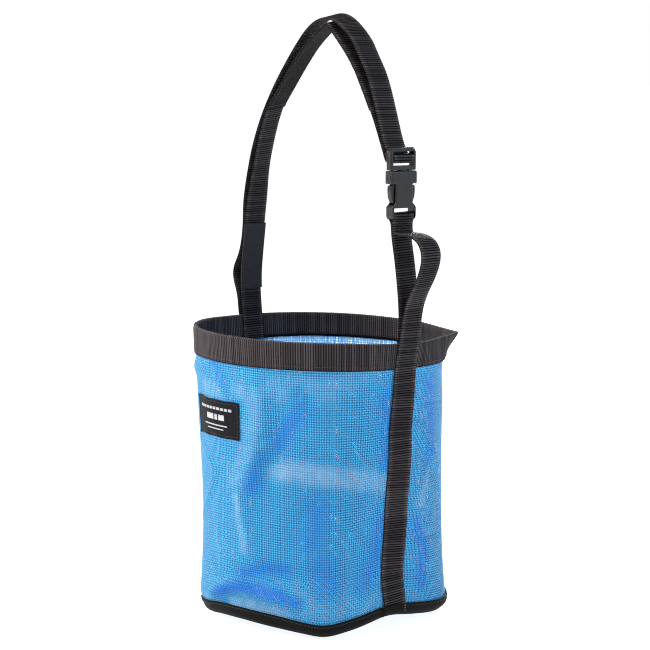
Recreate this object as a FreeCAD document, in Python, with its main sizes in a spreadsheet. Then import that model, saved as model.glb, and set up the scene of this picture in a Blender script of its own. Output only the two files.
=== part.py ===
"""Round mesh bucket bag with a webbing rim and a buckled strap over its mouth, in millimetres.

Frame: origin at the centre of the base, on the surface the bag stands on, +Z up. The strap stands
in the XZ plane, its buckle at +X, and the label faces -Y.
"""

import FreeCAD, Part
import math
import os
from FreeCAD import Placement, Rotation, Vector

SIZES = {
    # webbing, tape and mesh
    "webbing_width": 25.0,
    "webbing_thick": 1.8,
    "tape_thick": 1.5,
    "mesh_thick": 1.0,
    "thread_thick": 0.4,
    "thread_width": 0.8,
    "velcro_thick": 1.2,
    "patch_width": 27.0,
    # the wall's oval sections, from the base to the mouth
    "base_height": 1.5,
    "base_half_x": 114.0,
    "base_half_y": 124.0,
    "waist_height": 150.0,
    "waist_half_x": 115.0,
    "waist_half_y": 121.5,
    "neck_height": 263.0,
    "neck_half_x": 126.2,
    "neck_half_y": 126.6,
    "mouth_height": 287.0,
    "mouth_half_x": 127.6,
    "mouth_half_y": 128.0,
    "rim_height": 289.0,
    "rim_lean": 1.5,
    "rim_outer_radius": 129.9,
    "rim_inner_radius": 125.1,
    "binding_height": 12.0,
    # label
    "label_width": 70.0,
    "label_height": 36.0,
    "label_centre": 208.0,
    "label_bearing": -96.0,
    "label_thick": 0.8,
    "label_stitch_inset": 2.0,
    # strap fold: its axis runs along X at this height
    "fold_height": 308.0,
    # buckle
    "buckle_x": 117.0,
    "buckle_width": 31.0,
    "buckle_depth": 11.0,
    "female_low": 403.5,
    "female_high": 449.0,
    "male_low": 449.5,
    "male_high": 471.0,
    "male_depth": 7.6,
    "bar_depth": 4.8,
    "bar_height": 4.0,
    "cavity_width": 25.0,
    "cavity_depth": 6.5,
    "cavity_floor": 416.5,
    "prong_depth": 5.4,
    "post_width": 6.0,
    "post_low": 424.0,
    "slot_half": 12.9,
    # box stitch under the female half
    "box_stitch_low": 394.6,
    "box_stitch_high": 398.8,
    "box_stitch_half": 9.5,
}

doc = FreeCAD.newDocument("mesh_bucket_bag")
sheet = doc.addObject("Spreadsheet::Sheet", "Sizes")
for row, (alias, value) in enumerate(SIZES.items(), start=1):
    sheet.set(f"A{row}", alias)
    sheet.set(f"B{row}", str(value))
    sheet.setAlias(f"B{row}", alias)
doc.recompute()

pieces = {}


def size(alias):
    """A driving dimension, read from the sheet."""
    return float(sheet.get(alias))


def bind(thing, **sizes):
    """Bind properties of an object to expressions of the sheet's aliases, written as {alias}."""
    for name, expression in sizes.items():
        thing.setExpression(name, expression.format(**{alias: f"Sizes.{alias}" for alias in SIZES}))


def keep(thing, label):
    """Name a finished sub-part, which is then written to its own file."""
    thing.Label = label
    pieces[label] = thing
    return thing


# --- outlines -------------------------------------------------------------------------------------


def corner_arc(before, corner, after, radius=None):
    """Centre, radius, tangent points and turn of the arc that rounds a corner.

    Without a radius the arc is as large as the corner's runs allow.
    """
    run_in, run_out = corner - before, after - corner
    turn = run_in.getAngle(run_out)
    if turn < 0.0001:
        return None
    if radius is None:
        radius = 0.45 * min(run_in.Length, run_out.Length) / math.tan(turn / 2)
    back = radius * math.tan(turn / 2)
    start = corner - run_in.normalize() * back
    end = corner + run_out.normalize() * back
    side = 1 if run_in.x * run_out.y - run_in.y * run_out.x > 0 else -1
    centre = start + Vector(-run_in.y, run_in.x) * side * radius
    return centre, radius, start, end, side


def arc_edge(arc, shift):
    """The rounded corner's arc, moved sideways by shift (to the left of the way the route runs)."""
    centre, radius, start, end, side = arc
    scale = (radius - side * shift) / radius
    first, last = centre + (start - centre) * scale, centre + (end - centre) * scale
    middle = centre + ((start + end) * 0.5 - centre).normalize() * (radius * scale)
    return Part.Arc(first, middle, last), first, last


def beside(start, end, share, shift):
    """The point that is a share of the way along a run, moved to the run's left by shift."""
    run = (end - start).normalize()
    return start + (end - start) * share + Vector(-run.y, run.x) * shift


def route_edges(route, shift, span=None):
    """Lines and tangent arcs along a route, moved sideways by shift, with the first and the last point.

    A span (i, j) keeps the stretch from the middle of run i to the middle of run j.
    """
    points = [Vector(x, z) for x, z in route]
    first_run, last_run = span or (0, len(points) - 2)
    share = 0.5 if span else 0.0
    here = first = beside(points[first_run], points[first_run + 1], share, shift)
    edges = []
    for i in range(first_run + 1, last_run + 1):
        arc = corner_arc(*points[i - 1 : i + 2])
        if arc:
            curve, start, end = arc_edge(arc, shift)
            edges += [Part.LineSegment(here, start), curve]
            here = end
    last = beside(points[last_run], points[last_run + 1], 1.0 - share, shift)
    edges.append(Part.LineSegment(here, last))
    return edges, first, last


def ribbon_outline(route, thick, shift=0.0, span=None):
    """The closed side outline of a strip of webbing whose middle runs along a route."""
    left, left_first, left_last = route_edges(route, shift + thick / 2, span)
    right, right_first, right_last = route_edges(route, shift - thick / 2, span)
    ends = [Part.LineSegment(left_first, right_first), Part.LineSegment(left_last, right_last)]
    return left + right + ends


def polygon_outline(points, radius=0.0):
    """A closed polygon, with every corner rounded to the same radius where one is given."""
    corners = [Vector(*p) for p in points]
    count = len(corners)
    if not radius:
        return [Part.LineSegment(corners[i], corners[(i + 1) % count]) for i in range(count)]
    after = corners[1:] + corners[:1]
    arcs = [corner_arc(corners[i - 1], corners[i], after[i], radius) for i in range(count)]
    edges = []
    for i, arc in enumerate(arcs):
        edges += [arc_edge(arc, 0)[0], Part.LineSegment(arc[3], arcs[(i + 1) % count][2])]
    return edges


def rectangle(low_x, low_y, high_x, high_y):
    return [(low_x, low_y), (high_x, low_y), (high_x, high_y), (low_x, high_y)]


# --- features -------------------------------------------------------------------------------------


def new_body(label):
    return doc.addObject("PartDesign::Body", label)


def sketch(body, role, outline, offset=(0, 0, 0)):
    """A sketch on one of the body's own origin planes, moved by an offset in the plane's frame."""
    plane = next(p for p in body.Origin.OriginFeatures if p.Role == role)
    drawn = body.newObject("Sketcher::SketchObject", body.Name + "_sketch")
    drawn.AttachmentSupport = [(plane, "")]
    drawn.MapMode = "FlatFace"
    drawn.AttachmentOffset = Placement(Vector(*offset), Rotation())
    drawn.addGeometry(outline, False)
    return drawn


def feature(body, kind, drawn, symmetric=False, through=False, reverse=False, **sizes):
    """A Pad, Pocket or Revolution on a sketch, its sizes bound to the sheet."""
    made = body.newObject(f"PartDesign::{kind}", f"{body.Name}_{kind.lower()}")
    made.Profile = drawn
    made.Midplane = symmetric
    made.Reversed = reverse
    if through:
        made.Type = "ThroughAll"
    bind(made, **sizes)
    return made


def round_edges(body, base, chosen, radius):
    """Fillet the edges of a feature for which chosen(edge) is true."""
    doc.recompute()
    names = [f"Edge{i + 1}" for i, edge in enumerate(base.Shape.Edges) if chosen(edge)]
    fillet = body.newObject("PartDesign::Fillet", body.Name + "_fillet")
    fillet.Base = (base, names)
    fillet.Radius = radius
    return fillet


def ribbon(label, route, thick="webbing_thick", width="webbing_width", shift=0.0, span=None):
    """A strip of webbing: its side outline in the XZ plane, padded to its width along Y."""
    body = new_body(label)
    drawn = sketch(body, "XZ_Plane", ribbon_outline(route, size(thick), shift, span))
    feature(body, "Pad", drawn, symmetric=True, Length="{" + width + "}")
    return body


def revolved(label, outline):
    """A ring turned about the Z axis from an outline in the XZ plane."""
    body = new_body(label)
    turned = feature(body, "Revolution", sketch(body, "XZ_Plane", outline))
    turned.ReferenceAxis = (turned.Profile[0], ["V_Axis"])
    turned.Angle = 360
    return body


def combine(kind, label, base, tool):
    """A Part::Cut or Part::Common of two objects."""
    made = doc.addObject(f"Part::{kind}", label)
    made.Base, made.Tool = base, tool
    return made


def group(kind, label, parts):
    """A Part::MultiFuse or Part::Compound of several objects."""
    made = doc.addObject(f"Part::{kind}", label)
    if kind == "Compound":
        made.Links = parts
    else:
        made.Shapes = parts
    return made


def block(label, low, high):
    """A box between two corners."""
    box = doc.addObject("Part::Box", label)
    box.Length, box.Width, box.Height = (b - a for a, b in zip(low, high))
    box.Placement = Placement(Vector(*low), Rotation())
    return box


def oval(half_x, half_y, height):
    """A level ellipse, with its longer half along Y."""
    ring = doc.addObject("Part::Ellipse", "oval")
    ring.Placement = Placement(Vector(), Rotation(Vector(0, 0, 1), 90))
    bind(ring, MajorRadius=half_y, MinorRadius=half_x)
    ring.setExpression(".Placement.Base.z", height.format(**{a: f"Sizes.{a}" for a in SIZES}))
    return ring


def skin(offset):
    """The solid inside the wall's outer face moved out by an offset."""
    stations = [
        oval(f"{{{s}_half_x}} + {offset}", f"{{{s}_half_y}} + {offset}", f"{{{s}_height}}")
        for s in ("base", "waist", "neck", "mouth")
    ]
    loft = doc.addObject("Part::Loft", "skin")
    loft.Sections, loft.Solid, loft.Ruled = stations, True, False
    return loft


def disc(offset, low, high):
    """An upright oval disc as large as the base and an offset, from one height to another."""
    base = oval(f"{{base_half_x}} + {offset}", f"{{base_half_y}} + {offset}", low)
    slab = doc.addObject("Part::Extrusion", "disc")
    slab.Base, slab.DirMode, slab.Dir, slab.Solid = base, "Custom", Vector(0, 0, 1), True
    bind(slab, LengthFwd=f"({high}) - ({low})")
    return slab


# --- bag body -------------------------------------------------------------------------------------

HALF_WIDTH = size("webbing_width") / 2
HALF_THICK = size("webbing_thick") / 2
RIM_LOW = size("neck_height")
# middle of the webbing that lies on the rim, outside and inside, and where it stops under the legs
SEWN_GAP = 0.1
RIM_FACE = size("rim_outer_radius") + HALF_THICK + SEWN_GAP
INNER_GAP = 0.8
INNER_FACE = size("rim_inner_radius") - HALF_THICK - INNER_GAP
LEG_GAP = 0.5
LEG_LOW = size("fold_height") - HALF_WIDTH - LEG_GAP
TAB_TOP = LEG_LOW - LEG_GAP


def make_wall():
    keep(combine("Cut", "mesh_wall", skin("0"), skin("-{mesh_thick}")), "mesh_wall")


def make_base():
    """The base panel and the tape folded over its edge and the wall's."""
    keep(disc("-{mesh_thick} - {tape_thick}", "0", "{mesh_thick}"), "base_panel")
    outside = disc("{tape_thick}", "0", "{binding_height}")
    inside = disc("-{mesh_thick} - {tape_thick}", "0", "{binding_height}")
    ring = combine("Cut", "binding_ring", outside, inside)
    keep(combine("Cut", "base_binding", ring, pieces["mesh_wall"]), "base_binding")


# where the rim's faces end and the round of its fold begins
RIM_SHOULDER = size("rim_height") - (size("rim_outer_radius") - size("rim_inner_radius")) / 2 + 0.2


def make_rim():
    """Wide webbing folded over the wall's top edge."""
    outer, inner, lean = size("rim_outer_radius"), size("rim_inner_radius"), size("rim_lean")
    corners = [
        Vector(outer - lean, RIM_LOW),
        Vector(outer, RIM_SHOULDER),
        Vector(inner, RIM_SHOULDER),
        Vector(inner - lean, RIM_LOW),
    ]
    crest = Vector((outer + inner) / 2, size("rim_height"))
    outline = [
        Part.LineSegment(corners[0], corners[1]),
        Part.Arc(corners[1], crest, corners[2]),
        Part.LineSegment(corners[2], corners[3]),
        Part.LineSegment(corners[3], corners[0]),
    ]
    keep(combine("Cut", "rim_webbing", revolved("rim_ring", outline), pieces["mesh_wall"]), "rim_webbing")


def make_side_webbing(side, label):
    """Webbing sewn up the outside of the wall and over the rim.

    The side is +1 at the buckle and -1 opposite.
    """
    layer = combine("Cut", "webbing_layer", skin("{webbing_thick}"), skin("0"))
    near, far = sorted((0, side * (size("rim_outer_radius") + 10)))
    foot = (near, -HALF_WIDTH, size("binding_height"))
    head = (far, HALF_WIDTH, RIM_LOW - 6)
    on_wall = combine("Common", "webbing_on_wall", layer, block("webbing_strip", foot, head))
    route = [
        (side * (size("neck_half_x") + 0.6), RIM_LOW - 9),
        (side * (RIM_FACE - size("rim_lean")), RIM_LOW - 1),
        (side * RIM_FACE, size("mouth_height")),
        (side * (RIM_FACE + 0.4), TAB_TOP),
    ]
    keep(group("MultiFuse", label, [on_wall, ribbon("webbing_over_rim", route)]), label)


def make_inner_tab(side, label):
    """The strap's inner strand, sewn down inside the rim."""
    route = [
        (side * (INNER_FACE - size("rim_lean")), RIM_LOW),
        (side * INNER_FACE, size("mouth_height")),
        (side * (INNER_FACE + 0.9), TAB_TOP),
    ]
    keep(ribbon(label, route), label)


def make_label():
    """A patch on the wall, and the thread round its edge."""
    half, low = size("label_width") / 2, size("label_centre") - size("label_height") / 2
    high = low + size("label_height")
    turn = Rotation(Vector(0, 0, 1), size("label_bearing"))
    patch_skin, thread_skin = "{label_thick}", "{label_thick} + {thread_thick}"
    inside, outside = size("base_half_x") - 20, size("base_half_y") + 20

    def prism(inset):
        near = (inside, -half + inset, low + inset)
        far = (outside, half - inset, high - inset)
        box = block("label_prism", near, far)
        box.Placement = Placement(turn.multVec(box.Placement.Base), turn)
        return box

    layer = combine("Cut", "label_layer", skin(patch_skin), skin("0"))
    keep(combine("Common", "label", layer, prism(0)), "label")
    thread = combine("Cut", "label_thread_layer", skin(thread_skin), skin(patch_skin))
    inset = size("label_stitch_inset")
    frame = combine("Cut", "label_thread_frame", prism(inset), prism(inset + size("thread_width")))
    keep(combine("Common", "label_thread", thread, frame), "label_thread")


def make_seams():
    """The rows of thread along the rim and the binding, and the tacks where the strap crosses the rim."""
    height, lift = size("thread_width"), 3.0
    slope = size("rim_lean") / (RIM_SHOULDER - RIM_LOW)
    low = RIM_LOW + lift
    rows = []
    for radius, way in ((size("rim_outer_radius"), 1), (size("rim_inner_radius"), -1)):
        face = radius - size("rim_lean") + slope * lift + way * 0.05
        out = face + way * size("thread_thick")
        lean = slope * height
        foot, head = [(face, low), (out, low)], [(out + lean, low + height), (face + lean, low + height)]
        rows.append(revolved("rim_row", polygon_outline(foot + head)))
    crossing_half = HALF_WIDTH + LEG_GAP
    crossing = block("strap_crossing", (-150, -crossing_half, low - 5), (150, crossing_half, low + 5))
    keep(combine("Cut", "rim_thread", group("Compound", "rim_rows", rows), crossing), "rim_thread")
    row = ("{binding_height} - 3", "{binding_height} - 3 + {thread_width}")
    outside, inside = disc("{tape_thick} + {thread_thick}", *row), disc("{tape_thick}", *row)
    keep(combine("Cut", "binding_thread", outside, inside), "binding_thread")
    tacks = []
    for side in (1, -1):
        for level in (RIM_LOW + 12, RIM_LOW + 22):
            top = level + size("thread_width")
            lean = size("rim_lean") * (size("mouth_height") - top) / (size("mouth_height") - RIM_LOW)
            face = side * (RIM_FACE - lean + HALF_THICK + SEWN_GAP / 2)
            low, high = sorted((face, face + side * size("thread_thick")))
            tacks.append(block("tack", (low, -9, level), (high, 9, top)))
    keep(group("Compound", "rim_tack_thread", tacks), "rim_tack_thread")


# --- strap loop -----------------------------------------------------------------------------------

BUCKLE_X = size("buckle_x")
WRAP = HALF_THICK + 0.7
BAR_IN = BUCKLE_X - size("bar_depth") / 2 - WRAP
BAR_OUT = BUCKLE_X + size("bar_depth") / 2 + WRAP
FEMALE_BAR_TOP = size("female_low") + size("bar_height")
SPLIT = 400.0
SPLIT_GAP = 0.8

RIGHT_LEG = [
    (124.3, LEG_LOW - 1), (124.6, 322), (121.2, 360), (116.7, 386), (116.7, 399.8), (BAR_IN, 402.8),
    (BAR_IN, FEMALE_BAR_TOP + WRAP), (BAR_OUT, FEMALE_BAR_TOP + WRAP), (BAR_OUT, 403), (118.8, 400.5),
    (118.8, 389.5), (137, 390), (150, 386.5), (158, 379), (160, 367), (153, 350), (144, 337), (136.5, 324),
    (131.5, 308), (131.3, LEG_LOW - 1),
]
LEFT_OUTER = [
    (-131.3, LEG_LOW - 1), (-132.5, 310), (-141, 328), (-140, 339), (-131, 352), (-125.5, 367),
    (-122.8, 385), (-122.2, SPLIT - SPLIT_GAP),
]
LEFT_INNER = [
    (-124.3, LEG_LOW - 1), (-126, 310), (-126.8, 322), (-126.4, 338), (-119.8, 380), (-118, 391),
    (-116.6, SPLIT - SPLIT_GAP),
]


def leg_mask():
    """What the swinging legs keep: all above the fold axis, and a disc about it below."""
    above = block("above_fold", (-200, -60, size("fold_height")), (200, 60, 700))
    end = doc.addObject("Part::Cylinder", "fold_disc")
    end.Height = 400
    bind(end, Radius="{webbing_width} / 2")
    end.Placement = Placement(Vector(-200, 0, size("fold_height")), Rotation(Vector(0, 1, 0), 90))
    return group("MultiFuse", "leg_mask", [above, end])


def make_legs():
    mask = leg_mask()
    legs = {"right_leg_webbing": RIGHT_LEG, "left_outer_leg": LEFT_OUTER, "left_inner_leg": LEFT_INNER}
    for label, route in legs.items():
        keep(combine("Common", label, ribbon(label + "_strip", route), mask), label)


def make_hook_patch():
    """The hook patch on the loop-side face of the left inner leg."""
    shift = -(size("webbing_thick") + size("velcro_thick")) / 2
    keep(ribbon("hook_patch", LEFT_INNER, "velcro_thick", "patch_width", shift, (1, 4)), "hook_patch")


def make_box_stitch():
    """The box of thread that joins the two strands under the female half's bar."""
    face = RIGHT_LEG[9][0] + HALF_THICK
    out, width = face + size("thread_thick"), size("thread_width")
    low, high, half = size("box_stitch_low"), size("box_stitch_high"), size("box_stitch_half")
    bars = []
    for level in (low, high - width):
        bars.append(block("stitch", (face, -half, level), (out, half, level + width)))
    for edge in (-half, half - width):
        bars.append(block("stitch", (face, edge, low + width), (out, edge + width, high - width)))
    keep(group("Compound", "box_stitch_thread", bars), "box_stitch_thread")


# --- buckle ---------------------------------------------------------------------------------------


SLOT_HALF = size("slot_half")


def plate(label, outline, depth, edge_radius, corner_radius=1.0):
    """A body with an outline in the YZ plane and a depth along X, its long edges rounded."""
    body = new_body(label)
    drawn = sketch(body, "YZ_Plane", polygon_outline(outline, corner_radius))
    pad = feature(body, "Pad", drawn, symmetric=True, Length="{" + depth + "}")
    face = size(depth) / 2
    if edge_radius:
        round_edges(body, pad, lambda edge: abs(abs(edge.CenterOfMass.x) - face) < 0.01, edge_radius)
    body.Placement = Placement(Vector(BUCKLE_X, 0, 0), Rotation())
    return body


def mirrored(points):
    """An outline's +Y half, bottom to top, with its other half."""
    return points + [(-y, z) for y, z in reversed(points)]


def make_female():
    """The receiving half: a bar for the webbing, a neck with open sides and a mouth."""
    low, high, half = size("female_low"), size("female_high"), size("buckle_width") / 2
    foot, neck, collar = 14.5, 10.5, high - 12.2
    half_outline = [
        (foot - 1, low), (foot, low + 3), (foot, low + 11.5), (neck, low + 15.5), (neck, collar),
        (half, collar), (half, high),
    ]
    body = plate("female_buckle", mirrored(half_outline), "buckle_depth", 1.4)
    slot = rectangle(-SLOT_HALF, FEMALE_BAR_TOP, SLOT_HALF, FEMALE_BAR_TOP + 6.5)
    drawn = sketch(body, "YZ_Plane", polygon_outline(slot, 0.8))
    feature(body, "Pocket", drawn, symmetric=True, through=True)
    mouth_y, mouth_x = size("cavity_width") / 2, size("cavity_depth") / 2
    mouth = polygon_outline(rectangle(-mouth_x, -mouth_y, mouth_x, mouth_y), 0.6)
    drawn = sketch(body, "XY_Plane", mouth, (0, 0, high))
    feature(body, "Pocket", drawn, Length="{female_high} - {cavity_floor}")
    thin_bar(body, low - 1, FEMALE_BAR_TOP)
    keep(body, "female_buckle")


def thin_bar(body, low, high):
    """Cut a bar's two faces back to the bar depth, over the webbing's width."""
    deep = size("buckle_depth")
    for side in (1, -1):
        inner = side * size("bar_depth") / 2
        cut = rectangle(min(inner, side * deep), low, max(inner, side * deep), high)
        drawn = sketch(body, "XZ_Plane", polygon_outline(cut))
        feature(body, "Pocket", drawn, symmetric=True, Length="2 * {slot_half}")


MALE_BAR_LOW = 458.5
MALE_BAR_TOP = MALE_BAR_LOW + size("bar_height")


def make_male():
    """The inserting half: a ladder with a window and a middle bar for the webbing, and a guide post."""
    low, high, half = size("male_low"), size("male_high"), size("buckle_width") / 2
    outline = mirrored([(half, low), (half, high - 3.5), (half - 2.5, high)])
    body = plate("male_buckle", outline, "male_depth", 1.2)
    window = rectangle(-SLOT_HALF, low + 4.4, SLOT_HALF, high - 3.7)
    drawn = sketch(body, "YZ_Plane", polygon_outline(window, 0.8))
    feature(body, "Pocket", drawn, symmetric=True, through=True)
    bar = rectangle(-half + 1.5, MALE_BAR_LOW, half - 1.5, MALE_BAR_TOP)
    drawn = sketch(body, "YZ_Plane", polygon_outline(bar))
    feature(body, "Pad", drawn, symmetric=True, Length="{bar_depth}")
    post_half, tip = size("post_width") / 2, size("post_low")
    post = [(-post_half, low + 1), (-post_half, tip + 2), (-post_half + 1.5, tip), (post_half - 1.5, tip)]
    post += [(post_half, tip + 2), (post_half, low + 1)]
    drawn = sketch(body, "YZ_Plane", polygon_outline(post))
    feature(body, "Pad", drawn, symmetric=True, Length="{prong_depth}")
    keep(body, "male_buckle")


def make_prong(side, label):
    """A springy arm with a catch that sits under the mouth of the female half, on one side of Y."""
    top, catch, tip = size("male_low") - 0.3, 435.9, 418.2
    outline = [
        (8.2, top), (8.2, tip + 2.5), (9.6, tip), (12.2, tip + 0.8), (14.4, tip + 6), (15.1, catch - 5),
        (14.7, catch - 0.9), (11.4, catch), (11.4, top),
    ]
    body = plate(label, [(side * y, z) for y, z in outline], "prong_depth", 0.5, 0.35)
    keep(body, label)


# --- crown ----------------------------------------------------------------------------------------

OVER_BAR, UNDER_BAR = MALE_BAR_TOP + WRAP, MALE_BAR_LOW - WRAP
LADDER_IN = BUCKLE_X - 5
CROWN_OUTER = [
    (-122.2, SPLIT), (-121.4, 413), (-117, 439), (-109.8, 464), (-92, 500), (-67, 534), (-38, 566),
    (-14, 588), (8, 597), (31, 593), (57, 574), (66, 560), (79, 542), (87, 525), (95.5, 502), (104, 478),
    (109.5, 467), (112.5, OVER_BAR), (BAR_OUT, OVER_BAR), (BAR_OUT, UNDER_BAR), (LADDER_IN, UNDER_BAR),
]
CROWN_INNER = [
    (-116.6, SPLIT), (-106.5, 450), (-86, 503), (-66, 524), (-44.5, 547), (-21, 568), (13, 585.6),
    (18.5, 587.5), (23, 583.5), (58, 552), (79.5, 517), (92, 494), (103.5, 469), (107.5, 460.5),
    (109.2, UNDER_BAR), (LADDER_IN, UNDER_BAR),
]


def make_crown():
    """The two strands over the top, and the hook-and-loop strip under the inner one."""
    keep(ribbon("crown_outer_webbing", CROWN_OUTER), "crown_outer_webbing")
    keep(ribbon("crown_inner_webbing", CROWN_INNER), "crown_inner_webbing")
    shift = -(size("webbing_thick") + size("velcro_thick")) / 2
    keep(ribbon("loop_strip", CROWN_INNER, "velcro_thick", "webbing_width", shift, (2, 10)), "loop_strip")


def thread_across(label, route, strip, run, share):
    """A row of thread across a strip under a route, a share of the way along one of its runs."""
    start, end = (Vector(x, z) for x, z in route[run : run + 2])
    along = (end - start).normalize() * (size("thread_width") / 2)
    face = HALF_THICK + size(strip) + SEWN_GAP / 2
    top = face + size("thread_thick")
    middle = start + (end - start) * share
    body = new_body(label)
    corners = [
        beside(middle + along * way, middle + along * (way + 1), 0, -depth)
        for way, depth in ((-1, face), (1, face), (1, top), (-1, top))
    ]
    drawn = sketch(body, "XZ_Plane", polygon_outline([(c.x, c.y) for c in corners]))
    feature(body, "Pad", drawn, symmetric=True, Length="{webbing_width} - 4")
    return body


def make_strip_threads():
    """The thread across the ends of the hook patch and of the loop strip."""
    strips = {
        "patch_thread": (LEFT_INNER, ((1, 0.65), (4, 0.35))),
        "strip_thread": (CROWN_INNER, ((2, 0.55), (10, 0.45))),
    }
    for label, (route, ends) in strips.items():
        rows = [thread_across("strip_row", route, "velcro_thick", *end) for end in ends]
        keep(group("Compound", label, rows), label)


# --- build and write ------------------------------------------------------------------------------

make_wall()
make_base()
make_rim()
make_side_webbing(1, "right_side_webbing")
make_side_webbing(-1, "left_side_webbing")
make_inner_tab(1, "right_inner_tab")
make_inner_tab(-1, "left_inner_tab")
make_label()
make_seams()
make_legs()
make_hook_patch()
make_box_stitch()
make_female()
make_male()
make_prong(-1, "front_prong")
make_prong(1, "rear_prong")
make_crown()
make_strip_threads()

doc.recompute()
failed = [thing.Label for thing in doc.Objects if {"Invalid", "Error"} & set(thing.State)]
if failed:
    raise SystemExit(f"objects in error: {failed}")
for label, piece in pieces.items():
    if piece.Shape.isNull() or not piece.Shape.isValid() or piece.Shape.Volume <= 0:
        raise SystemExit(f"{label} has no valid shape")

os.makedirs("parts", exist_ok=True)
for label, piece in pieces.items():
    piece.Shape.exportStep(os.path.join("parts", f"{label}.step"))
    box = piece.Shape.BoundBox
    low, high = (box.XMin, box.YMin, box.ZMin), (box.XMax, box.YMax, box.ZMax)
    spans = "  ".join(f"{a:7.1f} {b:7.1f}" for a, b in zip(low, high))
    solids, volume = len(piece.Shape.Solids), piece.Shape.Volume / 1000
    print(f"{label:22s} solids {solids:2d} volume {volume:8.2f} cm3  {spans}")
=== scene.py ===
"""Looks of the round mesh bucket bag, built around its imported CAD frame.

Metres, +Z up, the buckle at +X, the label towards -Y. Lengths below are written in millimetres and scaled once,
when a mesh is made.
"""

import math

import bmesh
import bpy
import numpy as np
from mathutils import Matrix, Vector
from mathutils.bvhtree import BVHTree


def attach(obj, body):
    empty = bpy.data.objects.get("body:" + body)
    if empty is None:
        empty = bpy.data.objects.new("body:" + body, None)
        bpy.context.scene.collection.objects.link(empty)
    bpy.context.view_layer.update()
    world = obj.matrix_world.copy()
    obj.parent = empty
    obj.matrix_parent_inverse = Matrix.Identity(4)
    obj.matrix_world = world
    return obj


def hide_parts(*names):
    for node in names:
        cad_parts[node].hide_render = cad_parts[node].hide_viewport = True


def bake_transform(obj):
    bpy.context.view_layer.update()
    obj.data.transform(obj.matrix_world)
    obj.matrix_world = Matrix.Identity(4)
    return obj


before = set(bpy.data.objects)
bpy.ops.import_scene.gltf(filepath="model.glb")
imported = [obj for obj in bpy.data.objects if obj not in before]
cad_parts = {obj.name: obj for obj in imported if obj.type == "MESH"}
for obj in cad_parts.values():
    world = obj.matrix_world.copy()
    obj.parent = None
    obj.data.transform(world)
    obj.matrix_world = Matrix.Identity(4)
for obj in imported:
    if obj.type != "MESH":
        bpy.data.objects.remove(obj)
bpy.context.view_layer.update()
rng = np.random.default_rng(11)

MM = 0.001
TAU = 2 * math.pi
RIB = 2.4  # pitch of the webbing's ribs
MOUTH = 287.0  # top edge of the mesh wall
FOLD = ((0, 0, 0.291), (0, 0, 0.325))  # where the strap bends when it folds down
STRETCH = ((-0.12, 0, 0.40), (0.10, 0, 0.48))  # where the crown gives when the buckle is pulled apart


# --- small tools --------------------------------------------------------------------------------------------------


def unit(v):
    return v / np.maximum(np.linalg.norm(v, axis=-1, keepdims=True), 1e-12)


def smoothstep(low, high, x):
    t = np.clip((x - low) / (high - low), 0, 1)
    return t * t * (3 - 2 * t)


def hermite(x, knots, values):
    """Smooth curve through values at knots. values is (K,) or (K, n), with one column for each x."""
    knots = np.asarray(knots, float)
    values = np.asarray(values, float)
    if values.ndim == 1:
        values = np.repeat(values[:, None], len(x), axis=1)
    slopes = np.gradient(values, knots, axis=0)
    i = np.clip(np.searchsorted(knots, x, side="right") - 1, 0, len(knots) - 2)
    column = np.arange(len(x))
    width = knots[i + 1] - knots[i]
    t = np.clip((x - knots[i]) / width, 0, 1)
    t2, t3 = t * t, t * t * t
    return (
        (2 * t3 - 3 * t2 + 1) * values[i, column]
        + (t3 - 2 * t2 + t) * width * slopes[i, column]
        + (3 * t2 - 2 * t3) * values[i + 1, column]
        + (t3 - t2) * width * slopes[i + 1, column]
    )


def around(bearing, knots, values):
    """hermite over bearings in degrees, closed round the bag."""
    knots = np.asarray(knots, float)
    values = np.asarray(values, float)
    wide = np.concatenate([knots[-3:] - 360, knots, knots[:3] + 360])
    closed = np.concatenate([values[-3:], values, values[:3]])
    start = knots[0]
    return hermite((bearing - start) % 360 + start, wide, closed)


def add_object(name, data):
    made = bpy.data.objects.new(name, data)
    bpy.context.scene.collection.objects.link(made)
    return made


def new_mesh(name, points, quads, uv=None, rib=None, side=None, painted_light_and_tone=None):
    """A mesh object from points in millimetres and four-cornered faces, with a UV pair and shading values a point."""
    mesh = bpy.data.meshes.new(name)
    points = np.asarray(points, float).reshape(-1, 3) * MM
    quads = np.asarray(quads, int).reshape(-1, 4)
    mesh.vertices.add(len(points))
    mesh.vertices.foreach_set("co", points.ravel())
    mesh.loops.add(quads.size)
    mesh.loops.foreach_set("vertex_index", quads.ravel())
    mesh.polygons.add(len(quads))
    mesh.polygons.foreach_set("loop_start", np.arange(len(quads)) * 4)
    mesh.polygons.foreach_set("use_smooth", np.full(len(quads), True))
    mesh.update(calc_edges=True)
    if uv is not None:
        layer = mesh.uv_layers.new(name="weave")
        layer.data.foreach_set("uv", np.asarray(uv, float).reshape(-1, 2)[quads.ravel()].ravel())
    for key, values in (("rib", rib), ("side", side), ("painted_light_and_tone", painted_light_and_tone)):
        if values is not None:
            mesh.attributes.new(key, "FLOAT", "POINT").data.foreach_set("value", np.asarray(values, np.float32).ravel())
    return add_object(name, mesh)


def grid_quads(rows, columns, close_rows=False, close_columns=False):
    """Faces of a grid of points, row by row, joined round where asked."""
    r = np.arange(rows if close_rows else rows - 1)
    c = np.arange(columns if close_columns else columns - 1)
    r, c = (a.ravel() for a in np.meshgrid(r, c, indexing="ij"))
    r2, c2 = (r + 1) % rows, (c + 1) % columns
    return np.stack([r * columns + c, r * columns + c2, r2 * columns + c2, r2 * columns + c], axis=1)


def capped(rows, ring):
    """Faces of a tube of rings, with both ends closed by quads across the ring."""
    half = ring // 2
    cap = np.array([(i, i + 1, ring - 2 - i, ring - 1 - i) for i in range(half - 1)])
    last = (rows - 1) * ring
    return np.concatenate([grid_quads(rows, ring, close_columns=True), cap, cap[:, ::-1] + last])


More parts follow.
